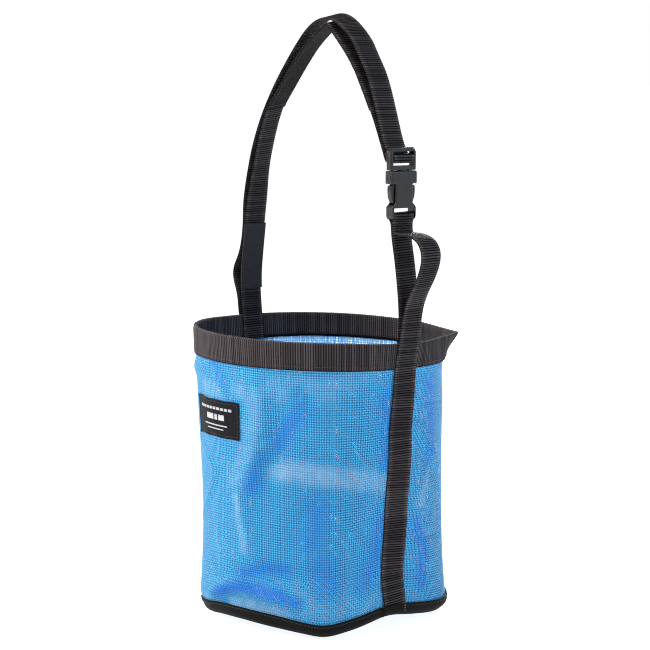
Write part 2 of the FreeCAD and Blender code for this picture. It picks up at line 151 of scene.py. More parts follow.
def bspline(control, step):
    """Points evenly spaced along the smooth curve that a control polygon draws, in order, with both its ends."""
    p = np.asarray(control, float)
    middle = (p[1:] + p[:-1]) / 2
    curve = []
    for i in range(1, len(p) - 1):
        a = p[0] if i == 1 else middle[i - 1]
        b = p[-1] if i == len(p) - 2 else middle[i]
        t = np.linspace(0, 1, 33)[:, None]
        part = (1 - t) ** 2 * a + 2 * t * (1 - t) * p[i] + t * t * b
        curve.append(part if not curve else part[1:])
    return even(np.concatenate(curve), step)


def sampled(at, run, values):
    """Three-column values along a line, read at some lengths along it."""
    return np.stack([np.interp(at, run, values[:, k]) for k in range(3)], axis=1)


def even(points, step):
    """The same line with its points evenly spaced, about a step apart."""
    run = length_along(points)
    count = max(2, int(round(run[-1] / step)) + 1)
    at = np.linspace(0, run[-1], count)
    return sampled(at, run, points)


def length_along(points):
    return np.concatenate([[0], np.cumsum(np.linalg.norm(np.diff(points, axis=0), axis=1))])


# --- the wall's surface -------------------------------------------------------------------------------------------

wall_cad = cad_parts["mesh_wall"].data
tree = BVHTree.FromPolygons([v.co for v in wall_cad.vertices], [f.vertices for f in wall_cad.polygons])
CAD_STEP = 5.0
CAD_BEARINGS = np.arange(0, 360, CAD_STEP)
CAD_LEVELS = np.linspace(4, 284, 41)


def cad_radius():
    """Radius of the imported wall's outer face over bearings and levels, in millimetres."""
    found = np.zeros((len(CAD_LEVELS), len(CAD_BEARINGS)))
    for i, level in enumerate(CAD_LEVELS):
        for j, bearing in enumerate(np.radians(CAD_BEARINGS)):
            way = Vector((math.cos(bearing), math.sin(bearing), 0))
            hit = tree.ray_cast(way * 0.3 + Vector((0, 0, level * MM)), -way)[0]
            found[i, j] = Vector((hit.x, hit.y)).length / MM
    return found


RADII = cad_radius()

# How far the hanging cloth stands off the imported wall: rows are bearings, columns are levels.
LOBE_LEVELS = (0, 50, 110, 165, 215, 263, 287)
LOBE_BEARINGS = (-128, -105, -80, -60, -38, -20, -4, 18, 52, 84, 110, 140, 165, 180, 205)
LOBES = (
    (8.2, 6.8, 5.0, 5.0, 4.6, 2.6, 2.0),
    (3.8, 3.4, 2.5, 2.5, 2.7, 1.5, 0.8),
    (0.0, 1.0, 1.5, 1.0, 0.0, 0.0, 0.0),
    (-1.0, -1.0, 0.0, -0.5, -1.0, -0.5, 0.0),
    (2.0, 0.5, 0.0, 0.0, -0.5, -0.5, 0.0),
    (-0.5, -2.0, -1.5, -1.0, -2.0, -1.0, -0.5),
    (-5.5, -6.3, -4.0, -4.3, -5.5, -4.5, -1.0),
    (-1.5, -2.5, -1.5, -3.0, -4.5, -4.0, -2.0),
    (4.5, 3.0, 0.6, -2.5, -5.0, -6.5, 2.4),
    (1.0, 1.5, 1.0, 0.5, -1.0, -2.0, -1.5),
    (-1.0, -1.0, -1.5, 0.5, 1.0, 0.5, 0.0),
    (1.0, 0.5, -1.0, 0.0, 0.0, 0.0, 0.0),
    (-1.5, -2.0, -2.5, -2.0, -1.0, -0.5, -0.3),
    (-4.0, -4.5, -3.5, -3.0, -3.5, -1.5, -0.7),
    (1.0, 0.5, 1.5, 2.0, 2.0, 1.5, 1.0),
)
# How high the bottom edge is lifted where the cloth hangs from its side webbings.
LIFT_BEARINGS = (-155, -125, -108, -95, -82, -63, -50, -38, -26, -14, 0, 17, 33, 45, 60, 90, 120, 150, 180)
LIFTS = (5, 2.5, 8, 12, 13, 9.5, 6, 3, 7, 11.5, 14.5, 11, 6.5, 4, 3, 8, 5, 3, 8)
# Folds: points (bearing, level), half width, height (minus for a groove).
FOLDS = (
    (((-152, 251), (-128, 250), (-104, 252)), 8.0, 1.9),
    (((-104, 26), (-94, 39), (-87, 46), (-80, 47), (-72, 42), (-63, 37), (-54, 31)), 5.5, 4.2),
    (((-100, 21), (-85, 29), (-74, 28), (-62, 22), (-52, 17)), 7.0, -3.2),
    (((-92, 48), (-80, 57), (-68, 62), (-54, 64), (-36, 58)), 9.0, -2.0),
    (((10, 205), (18, 194), (30, 170), (42, 150)), 4.5, 2.6),
    (((12, 190), (24, 160), (34, 140)), 8.0, -2.2),
    (((26, 158), (18, 138), (21, 118)), 6.0, 1.8),
    (((11, 223), (23, 222), (45, 218)), 1.6, -1.0),
    (((11, 88), (24, 86), (48, 83)), 1.5, -0.9),
    (((-116, 178), (-98, 155), (-106, 126), (-119, 100)), 6.0, 1.5),
    (((-70, 250), (-67, 232), (-68, 203), (-70, 183), (-74, 162), (-78, 142), (-79, 112), (-74, 84)), 9.0, 2.6),
    (((-60, 240), (-56, 205), (-62, 165), (-66, 130)), 12.0, -2.2),
    (((-50, 246), (-45, 236), (-48, 222)), 7.0, -1.8),
    (((-36, 150), (-49, 118), (-54, 78)), 10.0, -1.6),
    (((-24, 230), (-20, 200), (-12, 176)), 8.0, 1.6),
    (((-30, 120), (-18, 88), (-8, 60)), 8.0, 1.8),
    (((-10, 140), (-24, 120), (-34, 100)), 9.0, 1.4),
    (((104, 112), (120, 121), (140, 124), (158, 122), (174, 117)), 8.0, 2.4),
    (((104, 92), (122, 97), (142, 98), (160, 98), (174, 94)), 9.0, -7.0),
    (((70, 200), (80, 150), (74, 100), (82, 60)), 12.0, 2.2),
    (((96, 60), (112, 40), (130, 36), (150, 28)), 7.0, 2.6),
    (((200, 210), (210, 160), (204, 110)), 12.0, 2.0),
    (((188, 90), (202, 60), (222, 40)), 9.0, 2.2),
    (((190, 36), (206, 30), (226, 24)), 6.0, -2.0),
)
FOLD_GAIN = 1.45
CLOTH_RADIUS = 120.0
# Painted light and shade on the cloth: pale painted light on folds and on the lit inside of the back wall, or below 0 a
# deep blue painted shade in closed-up folds: points (bearing, level), half width, amount.
PAINTED_LIGHT_AND_SHADE = (
    (((-64, 164), (-50, 164), (-36, 159), (-10, 151)), 11.0, 0.42),
    (((-66, 186), (-62, 176), (-58, 168)), 8.0, 0.25),
    (((-82, 134), (-80, 111), (-78, 84)), 5.0, 0.30),
    (((-72, 236), (-72, 214), (-76, 176), (-84, 150)), 10.0, 0.16),
    (((-104, 236), (-92, 234), (-78, 238)), 9.0, 0.20),
    (((-110, 16), (-92, 24), (-74, 27), (-58, 20)), 9.0, 0.34),
    (((33, 168), (27, 152), (20, 138), (19, 124)), 9.0, 0.30),
    (((-20, 262), (-34, 246), (-60, 244)), 14.0, 0.14),
    (((-52, 40), (-30, 30), (-12, 34)), 13.0, 0.16),
    (((102, 262), (120, 262), (142, 262), (162, 262)), 22.0, 0.72),
    (((104, 112), (128, 121), (156, 120), (172, 114)), 10.0, 0.45),
    (((-93, 36), (-81, 46), (-69.5, 46), (-60.6, 42), (-50.7, 35)), 5.5, -0.74),
    (((-97, 30), (-91, 27)), 5.0, -0.60),
    (((-79.5, 58), (-66.8, 67), (-57, 67)), 6.5, -0.50),
    (((-73, 146), (-70.5, 156), (-65.4, 177), (-60.5, 187), (-52, 215)), 9.0, -0.46),
    (((-41, 129), (-42, 110), (-44, 95)), 13.0, -0.32),
    (((-40, 70), (-37, 50)), 15.0, -0.34),
    (((-18, 48), (-10, 80), (-7, 110)), 12.0, -0.36),
    (((-9, 235), (-7, 200), (-7, 165)), 9.0, -0.35),
    (((21, 240), (25, 205), (28, 160)), 10.0, -0.45),
    (((17, 100), (24, 75), (22, 40)), 9.0, -0.45),
    (((-96, 262), (-90, 245), (-84, 225)), 7.0, -0.35),
    (((-50, 238), (-47, 220)), 9.0, -0.26),
)
WAVES = [(rng.integers(2, 9), rng.uniform(-0.03, 0.03), rng.uniform(0, TAU), rng.uniform(0.1, 0.3)) for _ in range(9)]
EAR = 52.0  # bearing of the rim's pinched corner
# Degrees away from the corner, and how far the cloth stands out there.
EAR_OFFS, EAR_RISES = (0, 3, 8, 14, 21, 28, 36, 46), (4.2, 1.6, -2.4, -4.8, -5.8, -5.0, -2.6, 0)
CORNER, CORNER_WIDE = 232, 34  # bearing and spread of the bottom's drawn-in corner
# How far the mouth's edge rises above its level.
MOUTH_BEARINGS = (-190, -165, -145, -125, -100, -80, -60, -38, -22, -8, 10, 30, 52, 80, 108, 130, 150)
MOUTH_RISES = (0.0, 0.9, 2.6, 3.2, 2.9, 2.3, 1.2, 0.2, -1.2, -2.9, -4.2, -5.0, -5.5, -5.0, -4.3, -2.4, -1.0)


def mouth(theta):
    """Level of the mouth's edge at a bearing in radians."""
    return MOUTH + around(np.degrees(theta), MOUTH_BEARINGS, MOUTH_RISES)


def lift(theta):
    """Height of the bottom edge at a bearing in radians."""
    return around(np.degrees(theta), LIFT_BEARINGS, LIFTS)


def near_line(theta, z, line):
    """Distance along the cloth to a line of (bearing, level) points, and the share of its length passed there."""
    line = np.array(line, float)
    middle = math.radians(line[:, 0].mean())
    s = ((theta - middle + math.pi) % TAU - math.pi + middle) * CLOTH_RADIUS
    path = np.stack([np.radians(line[:, 0]) * CLOTH_RADIUS, line[:, 1]], axis=1)
    run = length_along(path)
    near, place = np.full(z.shape, 1e9), np.zeros(z.shape)
    for a, b, start, end in zip(path[:-1], path[1:], run[:-1], run[1:]):
        way = b - a
        t = np.clip(((s - a[0]) * way[0] + (z - a[1]) * way[1]) / (way @ way), 0, 1)
        gap = np.hypot(s - a[0] - t * way[0], z - a[1] - t * way[1])
        place = np.where(gap < near, (start + t * (end - start)) / run[-1], place)
        near = np.minimum(near, gap)
    return near, place


def fold_height(theta, z):
    """How far the wall's folds stand out at each point."""
    out = np.zeros_like(z)
    for line, width, height in FOLDS:
        near, place = near_line(theta, z, line)
        taper = np.sin(np.pi * np.clip(0.08 + 0.84 * place, 0, 1)) ** 0.7
        out += FOLD_GAIN * height * taper * np.exp(-((near / width) ** 2))
    return out


def painted_light_and_shade_at(theta, z):
    """How much painted light the cloth takes at each point, up to 1, or below 0 how deep a blue its painted fold shade
    is.
    """
    painted_light, painted_fold_shade = np.zeros_like(z), np.zeros_like(z)
    for line, width, amount in PAINTED_LIGHT_AND_SHADE:
        near, _ = near_line(theta, z, line)
        painted_light = np.maximum(painted_light, amount * np.exp(-((near / width) ** 3)))
        painted_fold_shade = np.minimum(painted_fold_shade, amount * np.exp(-((near / width) ** 2)))
    return painted_light + painted_fold_shade


def ear(theta, z):
    """The corner that is pinched into the rim: straight flanks that meet in a point, only at the top."""
    off = np.abs((np.degrees(theta) - EAR + 180) % 360 - 180)
    return hermite(np.clip(off, 0, EAR_OFFS[-1]), EAR_OFFS, EAR_RISES) * smoothstep(258, 288, z)


def wall_radius(theta, z):
    """Radius of the hanging wall at bearings in radians and levels in millimetres."""
    theta, z = np.broadcast_arrays(np.asarray(theta, float), np.asarray(z, float))
    shape = theta.shape
    theta, z = theta.ravel(), z.ravel()
    bearing = np.degrees(theta) % 360
    j = bearing / CAD_STEP
    j0 = np.floor(j).astype(int)
    i = np.clip((z - CAD_LEVELS[0]) / (CAD_LEVELS[1] - CAD_LEVELS[0]), 0, len(CAD_LEVELS) - 1.001)
    i0 = np.floor(i).astype(int)
    u, v = j - j0, i - i0
    j0, j1 = j0 % len(CAD_BEARINGS), (j0 + 1) % len(CAD_BEARINGS)
    radius = (RADII[i0, j0] * (1 - u) + RADII[i0, j1] * u) * (1 - v) + (
        RADII[i0 + 1, j0] * (1 - u) + RADII[i0 + 1, j1] * u
    ) * v
    lobes = np.stack([hermite(np.clip(z, 0, MOUTH), LOBE_LEVELS, row) for row in LOBES])
    radius += around(np.degrees(theta), LOBE_BEARINGS, lobes)
    waves = sum(a * np.sin(k * theta + m * z + p) for k, m, p, a in WAVES)
    radius += (waves + fold_height(theta, z)) * smoothstep(MOUTH, MOUTH - 40, z) + ear(theta, z)
    above = z - lift(theta)
    corner = np.exp(-((((bearing - CORNER + 180) % 360 - 180) / CORNER_WIDE) ** 2))
    radius -= (1 - corner) * 5.5 * np.clip((8 - above) / 8, 0, 1.2) ** 2.2
    radius -= corner * 9.0 * np.clip((20 - above) / 20, 0, 1.1) ** 1.2
    return radius.reshape(shape)


def polar(radius, theta, z):
    """Points at a radius, a bearing in radians and a level."""
    return np.stack([radius * np.cos(theta), radius * np.sin(theta), z], axis=-1)


def wall_point(theta, z, off=0.0):
    """Points on the wall, moved out by an offset along its level normal."""
    radius = wall_radius(theta, z)
    return polar(radius, theta, z + 0 * radius) + wall_normal(theta, z) * np.asarray(off)[..., None]


def wall_normal(theta, z, level=False):
    d = 0.01
    radius = wall_radius(theta, z)
    turn = (wall_radius(theta + d, z) - wall_radius(theta - d, z)) / (2 * d)
    rise = np.zeros_like(radius) if level else (wall_radius(theta, z + 1) - wall_radius(theta, z - 1)) / 2
    c, s = np.cos(theta), np.sin(theta)
    normal = np.stack([c + turn / radius * s, s - turn / radius * c, -rise], axis=-1)
    return unit(normal)


# --- materials ----------------------------------------------------------------------------------------------------


class Nodes:
    """A material's node tree, built by short calls."""

    def __init__(self, name):
        self.material = bpy.data.materials.new(name)
        self.material.use_nodes = True
        self.tree = self.material.node_tree
        self.tree.nodes.clear()
        self.out = self.add("ShaderNodeOutputMaterial")

    def add(self, kind, **settings):
        node = self.tree.nodes.new(kind)
        for key, value in settings.items():
            setattr(node, key, value)
        return node

    def put(self, node, socket, value):
        if isinstance(value, bpy.types.NodeSocket):
            self.tree.links.new(value, node.inputs[socket])
        else:
            node.inputs[socket].default_value = value

    def made(self, kind, output, inputs, **settings):
        """One output of a new node with its settings made and its inputs linked or set."""
        node = self.add(kind, **settings)
        for socket, value in inputs.items():
            self.put(node, socket, value)
        return node.outputs[output]

    def uv(self):
        return self.made("ShaderNodeUVMap", "UV", {}, uv_map="weave")

    def place(self):
        return self.made("ShaderNodeTexCoord", "Object", {})

    def value(self, name):
        return self.made("ShaderNodeAttribute", "Fac", {}, attribute_name=name)

    def noise(self, vector, scale, detail, rough=0.55, stretch=None):
        if stretch:
            vector = self.made("ShaderNodeMapping", "Vector", {"Vector": vector, "Scale": stretch})
        inputs = {"Vector": vector, "Scale": scale, "Detail": detail, "Roughness": rough}
        return self.made("ShaderNodeTexNoise", "Fac", inputs)

    def wave(self, vector, scale, direction, distortion):
        inputs = {"Vector": vector, "Scale": scale, "Distortion": distortion}
        return self.made("ShaderNodeTexWave", "Fac", inputs, bands_direction=direction)

    def mask(self, value, low, high, floor=0.0):
        """A ramp from a floor at low up to white at high."""
        node = self.add("ShaderNodeValToRGB")
        for element, at, shade in zip(node.color_ramp.elements, (low, high), (floor, 1.0)):
            element.position = at
            element.color = (shade, shade, shade, 1)
        self.put(node, "Fac", value)
        return node.outputs["Color"]

    def mix(self, share, a, b):
        a, b = ((*c, 1) if isinstance(c, tuple) else c for c in (a, b))
        return self.made("ShaderNodeMix", 2, {0: share, 6: a, 7: b}, data_type="RGBA")

    def maths(self, operation, a, b):
        return self.made("ShaderNodeMath", 0, {0: a, 1: b}, operation=operation)

    def times(self, a, b):
        return self.maths("MULTIPLY", a, b)

    def span(self, value, low, high):
        return self.made("ShaderNodeMapRange", "Result", {"Value": value, "To Min": low, "To Max": high})

    def bump(self, height, distance, strength):
        inputs = {"Height": height, "Distance": distance, "Strength": strength}
        return self.made("ShaderNodeBump", "Normal", inputs)

    def surface(self, colour, roughness, normal, specular, sheen=0.0, coat=0.0):
        inputs = {"Base Color": colour, "Roughness": roughness, "Normal": normal, "Specular IOR Level": specular}
        inputs |= {"Sheen Weight": sheen, "Sheen Tint": (1, 1, 1, 1), "Coat Weight": coat, "Coat Roughness": 0.16}
        return self.made("ShaderNodeBsdfPrincipled", "BSDF", inputs)

    def finish(self, shader):
        self.put(self.out, "Surface", shader)
        return self.material


def make_mesh_material():
    """Vinyl-coated open weave: each strand is rounded, with painted shade along its edges and where it dips under, and
    a painted highlight where it rides on top.
    """
    n = Nodes("mesh")
    uv = n.uv()
    rib = n.value("rib")
    edge = n.times(n.value("side"), n.value("side"))
    crown = n.maths("SUBTRACT", 1.0, edge)
    cloth = n.noise(uv, 14, 4)
    tone = n.mix(n.span(cloth, 0.0, 1.0), (0.020, 0.335, 0.88), (0.010, 0.25, 0.78))
    # Painted highlight: pale cyan on the middle of each strand where it rides over the other.
    tone = n.mix(n.times(rib, crown), tone, (0.125, 0.71, 1.0))
    painted_light_and_tone = n.value("painted_light_and_tone")
    # Painted shade: a deeper blue where the fold lines' value is below 0, mixed into the base tone here and again
    # further down.
    painted_fold_shade = n.maths("MAXIMUM", n.times(painted_light_and_tone, -1.0), 0.0)
    tone = n.mix(n.times(painted_fold_shade, 0.8), tone, (0.012, 0.20, 0.85))
    # Painted shade: dark along each strand's edges and on the stretches where it dips under.
    tone = n.mix(n.maths("POWER", edge, 1.5), tone, (0.001, 0.030, 0.12))
    tone = n.mix(n.times(n.maths("SUBTRACT", 1.0, rib), 0.80), tone, (0.003, 0.06, 0.22))
    scuffs = n.mask(n.noise(n.place(), 9, 5, 0.65), 0.60, 0.78)
    tone = n.mix(n.times(scuffs, 0.10), tone, (0.42, 0.70, 0.95))
    patchy = n.mask(n.noise(n.place(), 75, 4, 0.6), 0.36, 0.62, 0.35)
    # Painted fold shade again, over the strand shading.
    tone = n.mix(n.times(painted_fold_shade, 0.6), tone, (0.010, 0.17, 0.78))
    # Painted light: pale blue on folds and on the lit inside of the back wall, broken into patches.
    painted_light_and_tone = n.maths("MAXIMUM", painted_light_and_tone, 0.0)
    painted_light_and_tone = n.times(painted_light_and_tone, n.mix(painted_light_and_tone, patchy, (1.0, 1.0, 1.0)))
    tone = n.mix(n.times(painted_light_and_tone, 0.92), tone, (0.60, 0.82, 1.0))
    height = n.maths("ADD", crown, n.times(n.noise(uv, 1500, 2), 0.25))
    plain = n.surface(tone, n.span(n.noise(uv, 420, 2), 0.32, 0.52), n.bump(height, 0.0003, 0.9), specular=0.24)
    glow = n.made("ShaderNodeBsdfTranslucent", 0, {"Color": n.mix(0.35, tone, (0.16, 0.60, 1.0))})
    # More translucent glow where the painted light lies.
    share = n.maths("ADD", n.times(painted_light_and_tone, 0.45), 0.16)
    return n.finish(n.made("ShaderNodeMixShader", 0, {0: share, 1: plain, 2: glow}))


def make_webbing_material(name, dark, crest, cords, roughness):
    """Ribbed black webbing: the weft ribs come from the mesh, the warp cords that cover them from the nodes."""
    n = Nodes(name)
    uv, rib = n.uv(), n.value("rib")
    warp = n.wave(uv, cords, "X", 0.6)
    yarn = n.noise(uv, 900, 3, stretch=(1, 0.35, 1))
    wear_and_sheen = n.noise(n.place(), 22, 3)
    # Rib crests painted lighter: a painted sheen highlight on the rib tops, partly wear, varied by noise; the yarn
    # speckle below brightens them further.
    high = n.mask(rib, 0.42, 0.98)
    tone = n.mix(n.times(high, n.span(wear_and_sheen, 0.5, 1.15)), dark, crest)
    tone = n.mix(n.span(warp, 0.40, 0.0), tone, dark)
    tone = n.mix(n.times(n.times(yarn, high), 0.4), tone, tuple(1.8 * c for c in crest))
    # Painted glints: the brightest crest colour where the rib value tops 1.14, at the ribs' ends along the strap edges
    # and along the rim's fold.
    painted_rib_glints = n.times(n.maths("MAXIMUM", n.maths("SUBTRACT", rib, 1.14), 0.0), 1.3)
    tone = n.mix(painted_rib_glints, tone, tuple(3.6 * c for c in crest))
    lint = n.mask(n.noise(n.place(), 260, 4, 0.7), 0.66, 0.76)
    tone = n.mix(n.times(lint, 0.10), tone, (0.20, 0.18, 0.18))
    height = n.maths("ADD", n.times(warp, 0.6), n.times(yarn, 0.6))
    return n.finish(
        n.surface(tone, n.span(yarn, roughness - 0.12, roughness + 0.12), n.bump(height, 0.00025, 0.8),
                  specular=0.03)
    )


def make_pile_material(name, depth, fibre, tuft):
    n = Nodes(name)
    place = n.place()
    fluff = n.noise(place, 1100, 4, 0.7)
    clump = n.noise(place, 160, 4, 0.6)
    tone = n.mix(fluff, depth, fibre)
    tone = n.mix(n.times(clump, 0.4), tone, tuft)
    height = n.maths("ADD", fluff, n.times(clump, 0.8))
    return n.finish(n.surface(tone, 0.82, n.bump(height, 0.0005, 0.9), specular=0.1))


def make_label_material():
    n = Nodes("label_cloth")
    uv = n.uv()
    weave = n.times(n.wave(uv, 260, "X", 0.4), n.wave(uv, 320, "Y", 0.4))
    fibre = n.noise(uv, 500, 3, stretch=(1, 0.3, 1))
    tone = n.mix(weave, (0.002, 0.002, 0.0025), (0.011, 0.010, 0.012))
    tone = n.mix(n.times(fibre, 0.25), tone, (0.028, 0.026, 0.029))
    return n.finish(n.surface(tone, n.span(fibre, 0.35, 0.6), n.bump(n.maths("ADD", weave, fibre), 0.0002, 0.7),
                              specular=0.05))


def make_thread_material(name, dark, light, roughness=0.5):
    n = Nodes(name)
    place = n.place()
    twist = n.noise(place, 2200, 2, 0.5)
    painted_light_and_tone = n.noise(place, 40, 3)
    tone = n.mix(twist, dark, light)
    tone = n.mix(n.times(painted_light_and_tone, 0.3), tone, tuple(0.7 * c for c in dark))
    return n.finish(n.surface(tone, roughness, n.bump(twist, 0.0002, 0.7), specular=0.4, sheen=0.1))


def make_plastic_material():
    n = Nodes("buckle_plastic")
    place = n.place()
    grain = n.noise(place, 2600, 2, 0.5)
    cloud = n.noise(place, 60, 4, 0.6)
    scratch = n.noise(place, 240, 3, 0.6, stretch=(6, 6, 0.6))
    marks = n.mask(scratch, 0.62, 0.70)
    tone = n.mix(cloud, (0.0080, 0.0066, 0.0066), (0.0145, 0.0120, 0.0122))
    tone = n.mix(n.times(marks, 0.35), tone, (0.075, 0.070, 0.072))
    rough = n.maths("ADD", n.span(cloud, 0.24, 0.38), n.times(marks, 0.16))
    return n.finish(n.surface(tone, rough, n.bump(grain, 0.00012, 0.45), specular=0.30, coat=0.22))


MESH = make_mesh_material()
WEBBING = make_webbing_material("webbing", (0.0014, 0.0011, 0.0012), (0.058, 0.049, 0.051), 160, 0.58)
# The rim's webbing is a lighter copy of the webbing: painted light, for the rim facing the key lamp.
RIM_WEBBING_PAINTED_LIGHTER = make_webbing_material("rim_webbing", (0.0100, 0.0084, 0.0086), (0.094, 0.080, 0.083), 160, 0.60)
TAPE = make_webbing_material("binding_tape", (0.0100, 0.0088, 0.0085), (0.075, 0.064, 0.062), 260, 0.62)
HOOK = make_pile_material("hook_tape", (0.012, 0.011, 0.013), (0.040, 0.037, 0.042), (0.055, 0.050, 0.056))
# The loop pile is the hook pile darkened about threefold: painted shade on the strip along the crown.
LOOP_PAINTED_SHADE = make_pile_material("loop_tape", (0.004, 0.0035, 0.0036), (0.014, 0.012, 0.0125), (0.022, 0.019, 0.020))
LABEL = make_label_material()
THREAD = make_thread_material("thread", (0.006, 0.005, 0.005), (0.036, 0.032, 0.032))
PALE = make_thread_material("pale_thread", (0.36, 0.36, 0.38), (0.68, 0.68, 0.71), 0.45)
PLASTIC = make_plastic_material()


def dress(piece, material):
    piece.data.materials.append(material)
    return piece


# --- woven wall and base ------------------------------------------------------------------------------------------

WARPS, WEFTS = 324, 121
MESH_PITCH, BASE_STRANDS = 2.35, 108
STRAND_HALF = 0.86  # half the width of the mesh's strands, in front
BACK_HALF = 1.0  # and round the bearing of the back
BACK = math.radians(142)
WEAVE_RISE = 0.30


def wall_level(theta, share):
    """Level of the wall's cloth at a share of the way up from the bottom edge."""
    low = lift(theta)
    return low + (mouth(theta) - low) * share


def lattice(point, across, along, warps, wefts, keep, closed, half, painted_light):
    """Two sets of flat strands that pass over and under each other.

    The points, the two directions and the half width are arrays over warps and wefts; keep marks the crossings that
    exist.
    """
    points, quads, uv, rib, side, painted_light_and_tone = [], [], [], [], [], []
    i, j = np.meshgrid(np.arange(warps), np.arange(wefts), indexing="ij")
    over = np.where((i + j) % 2 == 0, 1.0, -1.0)
    normal = unit(np.cross(across, along))
    base = 0
    for way, sign, axis in ((across, 1, 1), (along, -1, 0)):
        rise = normal * (sign * over * WEAVE_RISE)[..., None]
        reach = way * half[..., None]
        sides = np.stack([point - reach + rise, point + reach + rise], axis=2)
        index = base + np.arange(warps * wefts * 2).reshape(warps, wefts, 2)
        if axis == 1:
            a, b = index[:, :-1], index[:, 1:]
            there = keep[:, :-1] & keep[:, 1:]
        elif closed:
            a, b = index, np.roll(index, -1, axis=0)
            there = keep & np.roll(keep, -1, axis=0)
        else:
            a, b = index[:-1], index[1:]
            there = keep[:-1] & keep[1:]
        faces = np.stack([a[..., 0], a[..., 1], b[..., 1], b[..., 0]], axis=-1)
        if axis == 0:
            faces = faces[..., ::-1]
        quads.append(faces[there].reshape(-1, 4))
        points.append(sides.reshape(-1, 3))
        place = np.stack([i, j], axis=-1) * MESH_PITCH * MM
        uv.append(np.repeat(place[:, :, None, :], 2, axis=2).reshape(-1, 2) + (0.4 * axis, 0))
        rib.append(np.repeat((0.5 + 0.5 * sign * over)[..., None], 2, axis=2).ravel())
        side.append(np.tile([-1.0, 1.0], warps * wefts))
        painted_light_and_tone.append(np.repeat(painted_light.ravel(), 2))
        base += warps * wefts * 2
    points, quads = np.concatenate(points), np.concatenate(quads)
    used, inverse = np.unique(quads, return_inverse=True)
    made = (np.concatenate(part)[used] for part in (uv, rib, side, painted_light_and_tone))
    return points[used], inverse.reshape(-1, 4), *made


def make_wall():
    theta = np.repeat((np.arange(WARPS) / WARPS * TAU)[:, None], WEFTS, axis=1)
    share = np.repeat((np.arange(WEFTS) / (WEFTS - 1))[None], WARPS, axis=0)
    far = 1 + 1.2 * smoothstep(0.1, 0.6, np.cos(theta - BACK))
    wander = (rng.normal(0, 0.0012, (WARPS, 1)) + rng.normal(0, 0.0007, (WARPS, WEFTS))) * far
    level = wall_level(theta.ravel(), share.ravel()).reshape(theta.shape)
    level = np.minimum(level + rng.normal(0, 0.10, (1, WEFTS)) + rng.normal(0, 0.06, theta.shape), MOUTH + 2.9)
    point = wall_point(theta + wander, level)
    across = unit(np.roll(point, -1, axis=0) - np.roll(point, 1, axis=0))
    along = unit(np.gradient(point, axis=1))
    back = smoothstep(0.45, 0.95, np.cos(theta - BACK))
    half = STRAND_HALF + (BACK_HALF - STRAND_HALF) * back
    made = lattice(point, across, along, WARPS, WEFTS, np.ones((WARPS, WEFTS), bool), True, half,
                   painted_light_and_shade_at(theta, level))
    wall = new_mesh("mesh_cloth_wall", *made)
    return dress(wall, MESH)


BASE_RADIUS, BASE_LOW = 116.0, 5.5


def base_height(x, y):
    """Level of the base's cloth: it follows the lifted edge and sags to the ground in the middle."""
    theta = np.arctan2(y, x)
    edge = lift(theta.ravel()).reshape(theta.shape)
    share = np.hypot(x, y) / BASE_RADIUS
    return BASE_LOW + (edge + 0.6 - BASE_LOW) * np.clip(share, 0, 1.1) ** 1.3


def base_edge(theta):
    """Radius of the base's cloth, inside the binding."""
    return wall_radius(theta, lift(theta) + 1.0) - 1.5


def make_base():
    count = BASE_STRANDS
    at = (np.arange(count) - (count - 1) / 2) * MESH_PITCH
    x, y = np.meshgrid(at, at, indexing="ij")
    keep = np.hypot(x, y) < base_edge(np.arctan2(y, x).ravel()).reshape(x.shape)
    point = np.stack([x, y, base_height(x, y)], axis=-1)
    across, along = unit(np.gradient(point, axis=0)), unit(np.gradient(point, axis=1))
    half = np.full((count, count), STRAND_HALF)
    base = new_mesh("mesh_cloth_base", *lattice(point, across, along, count, count, keep, False, half, 0 * x))
    return dress(base, MESH)


# --- bands round the rim and the bottom ---------------------------------------------------------------------------


BAND_RADIUS = 128  # for the bands' UVs


def band(name, section, ribs, samples, relief, material):
    """A ribbed band round the bag.

    section(theta) gives a closed ring of points (n, K, 3) and how much of the relief each point of the ring takes,
    which is pushed out along the ring's own normals.
    """
    count = ribs * samples
    theta = np.arange(count) / count * TAU
    ring, share, normals = section(theta)
    phase = np.abs(np.sin(np.pi * np.arange(count) / samples)) ** 0.7
    strength = np.repeat(rng.uniform(0.72, 1.1, ribs), samples)
    high = phase * strength
    ring = ring + normals * (share[None, :] * (high - 1)[:, None] * relief)[..., None]
    along = np.repeat((theta * BAND_RADIUS * MM)[:, None], ring.shape[1], axis=1)
    across = np.repeat((length_along(ring[0]) * MM)[None], count, axis=0)
    uv = np.stack([across, along], axis=-1)
    rib = high[:, None] * share[None, :]
    quads = grid_quads(count, ring.shape[1], close_rows=True, close_columns=True)
    return dress(new_mesh(name, ring, quads, uv, rib), material)


RIM_CREST = 287.5  # above this level the rim's ribs stand out most and carry a painted highlight along the fold


